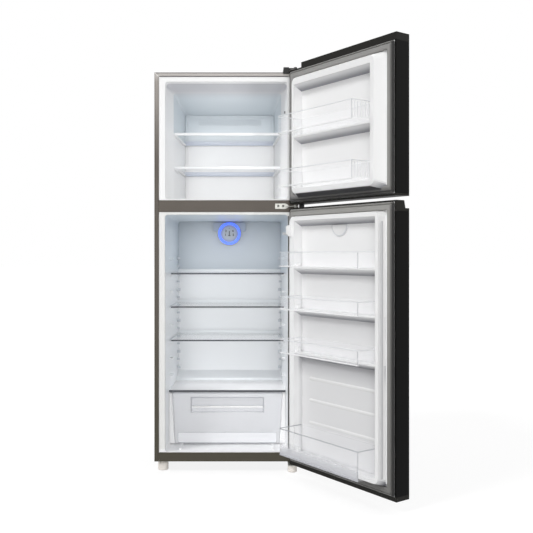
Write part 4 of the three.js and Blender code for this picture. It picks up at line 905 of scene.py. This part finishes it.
def makeCrisperGuides():
    g = crisperGuides
    form = bmesh.new()
    (innerLow, innerHigh), (outerFront, outerBack), front = g["inner"], g["outer"], g["front"]
    for side in (-1, 1):
        rings = []
        for y, outer, soft in ((front, outerFront, 1.5), (front + 1.5, outerFront, 0), (g["back"], outerBack, 0)):
            top = g["high"] - soft
            section = ((innerLow + soft, g["low"]), (outer, g["low"]), (outer, top), (innerHigh + soft, top))
            rings.append([(side * x, y, z) for x, z in section])
        addLoft(form, rings, True, True)
    finishForm(form, "crisperGuides", "linerPlastic", "cabinet", "liner")


makeCrisperDetails()
makeCrisperGuides()

# A dark strip painted as shade on the right edge of the lower opening, next to its door.
openingShadow = {"width": (257.2, 261.0), "depth": (-0.4, 1.6), "height": (86, 1066)}
makeBlocks([(*openingShadow.values(), 0.4)], "fridgeOpeningShadow", "sealShadow", "cabinet", "liner")

# Rims, corners and end ribs of the clear door bins.
binLook = {
    "hingeEnd": -69.0, "nearFace": 23.7, "shadedBin": "fridge_bin_1", "shadeTop": 62,
    "ribs": 8, "ribStart": 18, "ribPitch": 13,
    "freezer": {"free": -495.0, "front": 148.0}, "fridge": {"free": -516.5, "front": 140.0},
}


def makeBinDetails(node):
    side = node.split("_")[0]
    shadedBin = node == binLook["shadedBin"]
    low, high = spanOf(node)[2]
    free, front, hinge, near = *binLook[side].values(), binLook["hingeEnd"], binLook["nearFace"]
    where = (node, "clear_plastic", onDoor)
    makeBlocks([((free, hinge - 4), (front - 3.0, front + 0.5), (high - 2.6, high + 0.2), 0.8),
                ((free - 0.4, free + 2.9), (near + 2, front), (high - 2.4, high + 0.2), 0.8),
                ((hinge - 2.9, hinge + 0.4), (near + 2, front - 5), (high - 2.4, high + 0.2), 0.8)],
               node + "Rim", "binLineDark" if shadedBin else "binLine", *where)
    makeBlocks([((free - 0.4, free + 1.2), (front - 1.4, front + 0.4), (low + 2, high - 1), 0.5)],
               node + "Corner", "binLineDark", *where)
    # painted shade: the lowest door bin's bottom edge is darker
    makeBlocks([((free + 0.5, hinge - 4.5), (front - 4.5, front + 0.4), (low - 0.2, low + 5.2), 1.6, 3)],
               node + "BottomEdge", "binShadeEdge" if shadedBin else "frostedBright", *where)
    # painted shade: a grey sheet on the lowest door bin's front, darkest at its lower edge
    if shadedBin:
        shadeSpan = (low + 3.0, low + binLook["shadeTop"])
        makeBlocks([((free + 3.2, hinge - 3.2), (front - 3.4, front - 2.7), shadeSpan, 0.2, 1)],
                   node + "Cloud", "binShadeSheet", *where)
    if side == "freezer":
        starts = [near + binLook["ribStart"] + step * binLook["ribPitch"] for step in range(binLook["ribs"])]
        ribs = [((free - 0.7, free + 0.8), (y, y + 2.2), (low + 7, high - 6), 0.5) for y in starts]
        ribs.append(((free - 0.8, free + 3.4), (front - 6, front - 1), (high - 6.5, high - 1.5), 1.0))
        makeBlocks(ribs, node + "EndRibs", "binLine", *where)


shadeFoot = spanOf(binLook["shadedBin"])[2][0] / 1000
fadeWithHeight(made["binShadeSheet"], shadeFoot, shadeFoot + binLook["shadeTop"] / 1000)
for name in sorted(nodes):
    if "_bin_" in name:
        makeBinDetails(name)
print("bins made")

# Details of the door liners.
underShadowStrip = {"free": -528, "hinge": -56, "back": 27, "depth": 33.5, "thick": 2.2, "taper": 34,
              "lower": ((27, 1132.9), (33.6, 1136.2), (34, 1137.5), (36, 1137.5), (44, 1140.1), (60.5, 1146.4))}
bead = {"span": (-549.0, -542.4), "depth": (23.0, 31.5), "freezer": (1150, 1606), "fridge": (98, 1044)}
groove = {"span": (-548.3, -546.0), "depth": (49.0, 57.0), "inset": 22}
discRim = {"middle": -294.9, "radii": (38.8, 42.8), "depth": (20.4, 26.1), "steps": 32}
linerRibs = {"heights": (238, 327, 413), "free": -508, "hinge": -112, "floor": 20.5, "end": 8,
             "section": ((0, -7), (1.0, -5), (1.6, -2), (1.6, 2), (1.0, 5), (0, 7))}


def makeUnderShadowStrip():
    # a dark strip painted as the shade under the lower edge of the freezer door's raised liner
    u = underShadowStrip
    form = bmesh.new()
    rings = []
    for y, z in u["lower"]:
        inset = u["taper"] * (1 - (y - u["back"]) / u["depth"])
        left, right = u["free"] + u["taper"] - inset, u["hinge"] - 20 + inset * 0.6
        rings.append([(left, y, z), (right, y, z), (right, y, z + u["thick"]), (left, y, z + u["thick"])])
    addLoft(form, rings, True, True)
    finishForm(form, "freezerDoorUnderStrip", "sealShadow", "freezer_door", "gasket", onDoor)


def makeLinerRibs():
    r = linerRibs
    ends = ((r["free"], 0.05), (r["free"] + r["end"], 1), (r["hinge"] - r["end"], 1), (r["hinge"], 0.05))
    form = bmesh.new()
    for z in r["heights"]:
        addLoft(form, [[(x, r["floor"] + rise * size, z + up * size) for rise, up in r["section"]]
                       for x, size in ends], cyclic=False)
    finishForm(form, "fridgeDoorLinerRibs", "doorRibPlastic", "fridge_door", "liner", onDoor, 60)


def makeDiscRim():
    # a narrow rim around the half-round deodoriser cover, painted darker as the shade round its edge
    top = spanOf("deodoriser_cover")[2][1]
    (inner, outer), (back, front) = discRim["radii"], discRim["depth"]
    rings = []
    for step in range(discRim["steps"] + 1):
        turn = math.pi + math.pi * step / discRim["steps"]
        rings.append([(discRim["middle"] + radius * math.cos(turn), y, top + radius * math.sin(turn))
                      for radius, y in ((inner, back), (inner, front), (outer, front), (outer, back))])
    form = bmesh.new()
    addLoft(form, rings, True, True)
    finishForm(form, "deodoriserRim", "discRimShade", "fridge_door", "liner", onDoor, 40)


makeUnderShadowStrip()
makeLinerRibs()
for side in ("freezer", "fridge"):  # a bright bead along the free side of each raised liner
    makeBlocks([(bead["span"], bead["depth"], bead[side], 2.2, 4)],
               side + "DoorLinerBead", "lipWhite", side + "_door", "liner", onDoor)
low, high = bead["fridge"]
# painted shade: a darker strip stands in for the shade in a groove down the free side of the fridge door liner
makeBlocks([(groove["span"], groove["depth"], (low + groove["inset"], high - groove["inset"]), 0.3, 2)],
           "fridgeDoorLinerGroove", "linerGrooveShade", "fridge_door", "liner", onDoor)
makeDiscRim()
print("door liner details made")

# The hinges that show from the front and the top. Both doors turn on the same upright line.
hingePin = (286, -33)
middleHinge = {
    "left": 203, "right": 258, "low": 1095, "high": 1117.5, "depth": (-3.0, -2.4, -0.75),
    "arm": (1103.0, 1103.6, 1105.9, 1106.5), "screws": (216, 236), "screwRadius": 5, "crossTurn": 20,
    "bush": [(7.5, 1100.4), (8, 1101), (8, 1108.4), (7.4, 1109), (4.6, 1109.2), (4.6, 1111.6)],
    "pin": [(4.6, 1096.4), (4.6, 1100.6)],
}
topHinge = {
    "upright": (262, 297), "plate": (1664.6, 1667.4), "upTop": 1681.5, "screws": ((278, 42), (278, 60)),
    "leaf": [(262, 70), (262, -30), (270, -44), (282, -48), (294, -45), (298, -36), (298, -8), (296, 70)],
    "front": (260.5, 284.0), "frontLow": 1659.5,
    "cap": [(7.2, 1667), (7.4, 1668), (7.4, 1674), (6.4, 1676.5), (3.4, 1677.6), (0.1, 1677.8)],
    "screwHead": [(6, 1667.2), (6, 1668.6), (5.2, 1671.4), (2.6, 1672), (2.2, 1670.6), (0.05, 1670.6)],
}
doorStop = {"width": (-27, -10.5), "depth": (-26, -9.5), "height": (1097.6, 1112.4)}  # under the upper door's corner


def addCross(form, x, z, turn):
    c, s = math.cos(math.radians(turn)), math.sin(math.radians(turn))
    arms = ((3, 0.5), (-3, 0.5), (-3, -0.5), (3, -0.5))
    addProfile(form, [(x + c * u - s * v, z + s * u + c * v) for u, v in arms], (-5.5, -4.2), "y")


def makeMiddleHinge():
    h = middleHinge
    left, right, low, high = h["left"], h["right"], h["low"], h["high"]
    middle = (low + high) / 2
    px, py = hingePin
    form = bmesh.new()
    outline = [(left + 2, low), (right - 14, low), (right - 6, low + 3), (right, middle - 4), (right, middle + 5),
               (right - 7, high - 2), (right - 14, high), (left + 2, high), (left, high - 2), (left, low + 2)]
    addProfile(form, outline, h["depth"], "y")
    arm = [(right - 12, -0.9), (right - 12, -3), (right + 4, -10), (px - 12, py - 2), (px - 8, py - 8), (px, py - 11),
           (px + 8, py - 7), (px + 10.5, py + 2), (px + 6, py + 9), (px - 4, py + 16), (px - 12, -0.9)]
    addProfile(form, arm, h["arm"], "z")
    addLathe(form, h["bush"], (px, py, 0))
    addLathe(form, h["pin"], (px, py, 0))
    finishForm(form, "middleHingePlate", "hingeSteel", "cabinet", "hinge_steel", smooth=30, replaced="middle_hinge")
    screws = bmesh.new()
    for x in h["screws"]:
        addScrew(screws, x, -2.9, middle + 1, h["screwRadius"])
        for turn in (0, 90):
            addCross(screws, x, middle + 1, turn + h["crossTurn"])
    finishForm(screws, "middleHingeScrews", "screwDark", "cabinet", "hinge_steel")


def makeTopHinge():
    h = topHinge
    (left, right), (low, high), top, (frontLeft, frontRight) = h["upright"], h["plate"], h["upTop"], h["front"]
    form = bmesh.new()
    addProfile(form, h["leaf"], (low, low + 0.5, high - 0.5, high), "z")
    upright = [(left, low), (right, low), (right, top - 3), (right - 3, top), (left + 3, top), (left, top - 3)]
    addProfile(form, upright, (-2.8, -2.2, -0.6, 0.0), "y")
    finishForm(form, "topHingePlate", "hingePaint", "cabinet", "hinge_steel", smooth=30, replaced="top_hinge")
    makeBlocks([(h["front"], (-3.6, -0.8), (h["frontLow"], top + 0.4), 1.4, 3),
                ((frontLeft + 5, frontRight - 5), (-4.3, -3.2), (h["frontLow"] + 9, top - 5), 0.6, 2)],
               "topHingeFront", "hingeBlack", "cabinet", "black_plastic")
    cap = bmesh.new()
    addLathe(cap, h["cap"], (*hingePin, 0))
    finishForm(cap, "topHingePinCap", "blackPlastic", "cabinet", "black_plastic")
    screws = bmesh.new()
    for x, y in h["screws"]:
        addLathe(screws, h["screwHead"], (x, y, 0), steps=6)
    finishForm(screws, "topHingeScrews", "screwDark", "cabinet", "hinge_steel")


makeMiddleHinge()
makeTopHinge()
makeBlocks([(*doorStop.values(), 1.5, 3)], "freezerDoorStop", "blackPlastic", "freezer_door", "black_plastic", onDoor)

# The two levelling feet at the front: share of the radius, and of the height up to the cabinet's underside.
footProfile = [(0.56, 1.0), (0.56, 0.8), (0.74, 0.79), (0.95, 0.71), (1.0, 0.65), (1.0, 0.52), (0.965, 0.5),
               (0.965, 0.46), (1.0, 0.44), (1.0, 0.32), (0.965, 0.3), (0.965, 0.26), (1.0, 0.24), (1.0, 0.1),
               (0.95, 0.03), (0.88, 0.0)]


def makeFoot(node):
    (left, right), (front, back), (low, high) = spanOf(node)
    radius = (right - left) / 2
    padTop = min(high, frontFrame["bottom"]) - low
    outline = [(radius * wide, padTop * tall) for wide, tall in footProfile]
    if high - low > padTop + 0.5:  # the stem goes on up into the cabinet
        outline.insert(0, (outline[0][0], high - low))
    form = bmesh.new()
    addLathe(form, outline, ((left + right) / 2, (front + back) / 2, low), steps=36)
    finishForm(form, node + "Pad", "footPlastic", node, "foot", smooth=40, replaced=node)


makeFoot("front_foot_left")
makeFoot("front_foot_right")
print("hinges and feet made")

# Screws and folded borders on the back of the cabinet.
backLook = {
    "screw": 5.0, "edge": 13, "corner": 18,
    "border": ((10, 0), (11.5, 1.3), (14.5, 1.3), (16, 0), (16, -0.4), (10, -0.4)),
    "rear_panel": {"rows": 7, "columns": 3, "finish": "plainSteel", "slot": "plain_steel"},
    "compressor_cover": {"rows": 2, "columns": 4, "finish": "blackPlastic", "slot": "black_plastic"},
}


def makeBackDetails(node):
    look, edge, back = backLook[node], backLook["edge"], spanOf("compressor_cover")[1][1]
    (left, right), _, (low, high) = spanOf(node)
    rows, columns = look["rows"], look["columns"]
    spots = [(x, low + edge + (high - low - 2 * edge) * row / (rows - 1))
             for row in range(rows) for x in (left + edge, right - edge)]
    spots += [(left + edge + (right - left - 2 * edge) * column / columns, z)
              for column in range(1, columns) for z in (low + edge, high - edge)]
    screws = bmesh.new()
    for x, z in spots:
        addScrew(screws, x, back - 0.2, z, backLook["screw"], 1)
    finishForm(screws, node + "Screws", "screwDark", "cabinet", look["slot"])
    border = bmesh.new()
    rings = [insetRing((left, right, low, high), edge + inset, back + rise, backLook["corner"], 4)
             for inset, rise in backLook["border"]]
    addLoft(border, rings + rings[:1])
    bmesh.ops.remove_doubles(border, verts=border.verts[:], dist=0.01)
    finishForm(border, node + "Border", look["finish"], "cabinet", look["slot"])


makeBackDetails("rear_panel")
makeBackDetails("compressor_cover")
print("back made")

# Numbers and the pointer on the temperature dial.
dialLook = {
    "z": 1005.0, "face": 439.2, "grip": 435.4, "numbers": "12345", "firstTurn": 200, "step": 55,
    "numberRing": 20.0, "numberSize": 15.0, "raise": 0.2, "thicken": 0.5,
}


def makeDialMarks():
    d = dialLook
    for index, figure in enumerate(d["numbers"]):
        angle = math.radians(d["firstTurn"] - index * d["step"])
        curve = bpy.data.curves.new("dialNumber%d" % (index + 1), "FONT")
        curve.body = figure
        curve.size = d["numberSize"] / 1000
        curve.align_x = curve.align_y = "CENTER"
        curve.extrude, curve.offset = d["raise"] / 1000, d["thicken"] / 1000
        curve.resolution_u = 3
        curve.materials.append(made["printGrey"])
        piece = newObject(curve.name, curve)
        piece.location = onCabinet(d["numberRing"] * math.cos(angle), d["face"],
                                   d["z"] + d["numberRing"] * math.sin(angle))
        piece.rotation_euler = (math.radians(90), 0, 0)
        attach(piece, "control_dial")


makeDialMarks()
z, grip = dialLook["z"], dialLook["grip"]
makeBlocks([((-1.6, 1.6), (grip - 0.7, grip + 1), (z - 12, z + 12), 0.5),
            ((-5.5, 5.5), (grip - 0.6, grip + 1), (z - 12, z - 8.6), 0.5)],
           "dialPointer", "printGrey", "control_dial", "dial")
print("dial made")

# Suns, backdrop and floor. Each sun has the direction it shines from, its level and its spread in degrees.
studio = {
    "worldLevel": 0.28, "floorColor": 0.3, "floorRough": 0.8, "floorReach": 50.0, "floorWhite": 1.07, "sunReach": 4,
    "suns": {
        "frontSun": ((-0.04, -1.0, 0.1), 0.3, 30),
        "lowSun": ((0.05, -1.0, -0.8), 0.24, 60),
        "frontLeftSun": ((-0.9, -1.0, 0.1), 0.05, 40),
        "frontRightSun": ((0.62, -1.0, 0.22), 0.13, 50),
        "topLeftSun": ((-1.0, -0.6, 1.1), 0.44, 18),
        "rightSun": ((1.0, -0.1, 0.7), 0.12, 50),
        "backSun": ((0.3, 1.0, 1.1), 0.3, 50),
    },
}
# Lamps inside the compartments, in millimetres: place, size and power. Each faces down until it is turned
# about x, then swung about z, in degrees.
roomLamps = {
    "fridgeLeftLamp": ((110, 90, 720), (240, 800), 0.24, 90, 90),
    "fridgeLamp": ((0, 200, 1052), (340, 200), 0.18, 0, 0),
    "fridgeUpLamp": ((0, 230, 850), (400, 300), 0.04, 180, 0),
    "drawerLamp": ((0, 240, 396), (440, 240), 0.2, 0, 0),
    "freezerLamp": ((0, 142, 1400), (400, 400), 0.045, 90, 0),
    "freezerLeftLamp": ((110, 60, 1380), (300, 300), 0.2, 90, 90),
    "freezerRightLamp": ((-110, 60, 1380), (300, 300), 0.05, 90, -90),
    "freezerTopLamp": ((0, 290, 1594), (300, 240), 0.03, 0, 0),
    "freezerUpLamp": ((0, 310, 1450), (360, 260), 0.055, 180, 0),
}


def newLamp(name, kind, energy):
    data = bpy.data.lights.new(name, kind)
    data.energy = energy
    return newObject(name, data), data


def makeSuns():
    for name, (way, level, spread) in studio["suns"].items():
        lamp, data = newLamp(name, "SUN", level * math.pi)
        data.angle = math.radians(spread)
        lamp.location = Vector(way) * studio["sunReach"]
        lamp.rotation_euler = Vector(way).to_track_quat("Z", "Y").to_euler()


def makeRoomLamps():
    for name, (place, size, power, turn, swing) in roomLamps.items():
        lamp, data = newLamp(name, "AREA", power)
        data.shape = "RECTANGLE"
        data.size, data.size_y = (length / 1000 for length in size)
        lamp.location = onCabinet(*place)
        lamp.rotation_euler = (math.radians(turn), 0, math.radians(swing))
        lamp.visible_camera = lamp.visible_glossy = False


def floorLevel():
    # how bright the floor is where nothing shades it
    lit = sum(level * max(Vector(way).normalized().z, 0) for way, level, _ in studio["suns"].values())
    return (studio["worldLevel"] + lit) * studio["floorColor"]


def raySeen(tree):
    rays = addNode(tree, "ShaderNodeLightPath").outputs
    seen = addMath(tree, "MAXIMUM", rays["Is Camera Ray"], rays["Is Glossy Ray"])
    return addMath(tree, "MAXIMUM", seen, rays["Is Transmission Ray"])


def makeWorld():
    world = bpy.data.worlds.new("studioWorld")
    bpy.context.scene.world = world
    world.use_nodes = True
    tree = world.node_tree
    level = addMath(tree, "MULTIPLY_ADD", raySeen(tree), 1.0 - studio["worldLevel"], studio["worldLevel"])
    fill(tree, tree.nodes["Background"], {"Color": (1, 1, 1, 1), "Strength": level})


def makeFloor():
    mesh = bpy.data.meshes.new("studioFloor")
    far = studio["floorReach"]
    mesh.from_pydata([(-far, -far, 0), (far, -far, 0), (far, far, 0), (-far, far, 0)], [], [(0, 1, 2, 3)])
    floor = newObject("studioFloor", mesh)
    material, tree, shader = newMaterial("floorWhite")
    fill(tree, shader, {"Base Color": (studio["floorColor"],) * 3 + (1.0,), "Roughness": studio["floorRough"],
                        "Specular IOR Level": 0.0})
    strength = addMath(tree, "MULTIPLY", raySeen(tree), studio["floorWhite"] - floorLevel())
    glow = addNode(tree, "ShaderNodeEmission", {"Color": (1, 1, 1, 1), "Strength": strength})
    both = addNode(tree, "ShaderNodeAddShader", {0: shader.outputs[0], 1: glow.outputs[0]})
    tree.links.new(both.outputs[0], tree.nodes["Material Output"].inputs["Surface"])
    mesh.materials.append(material)
    floor.visible_shadow = False  # the low sun shines up through it


makeSuns()
makeRoomLamps()
makeWorld()
makeFloor()
print("studio set")
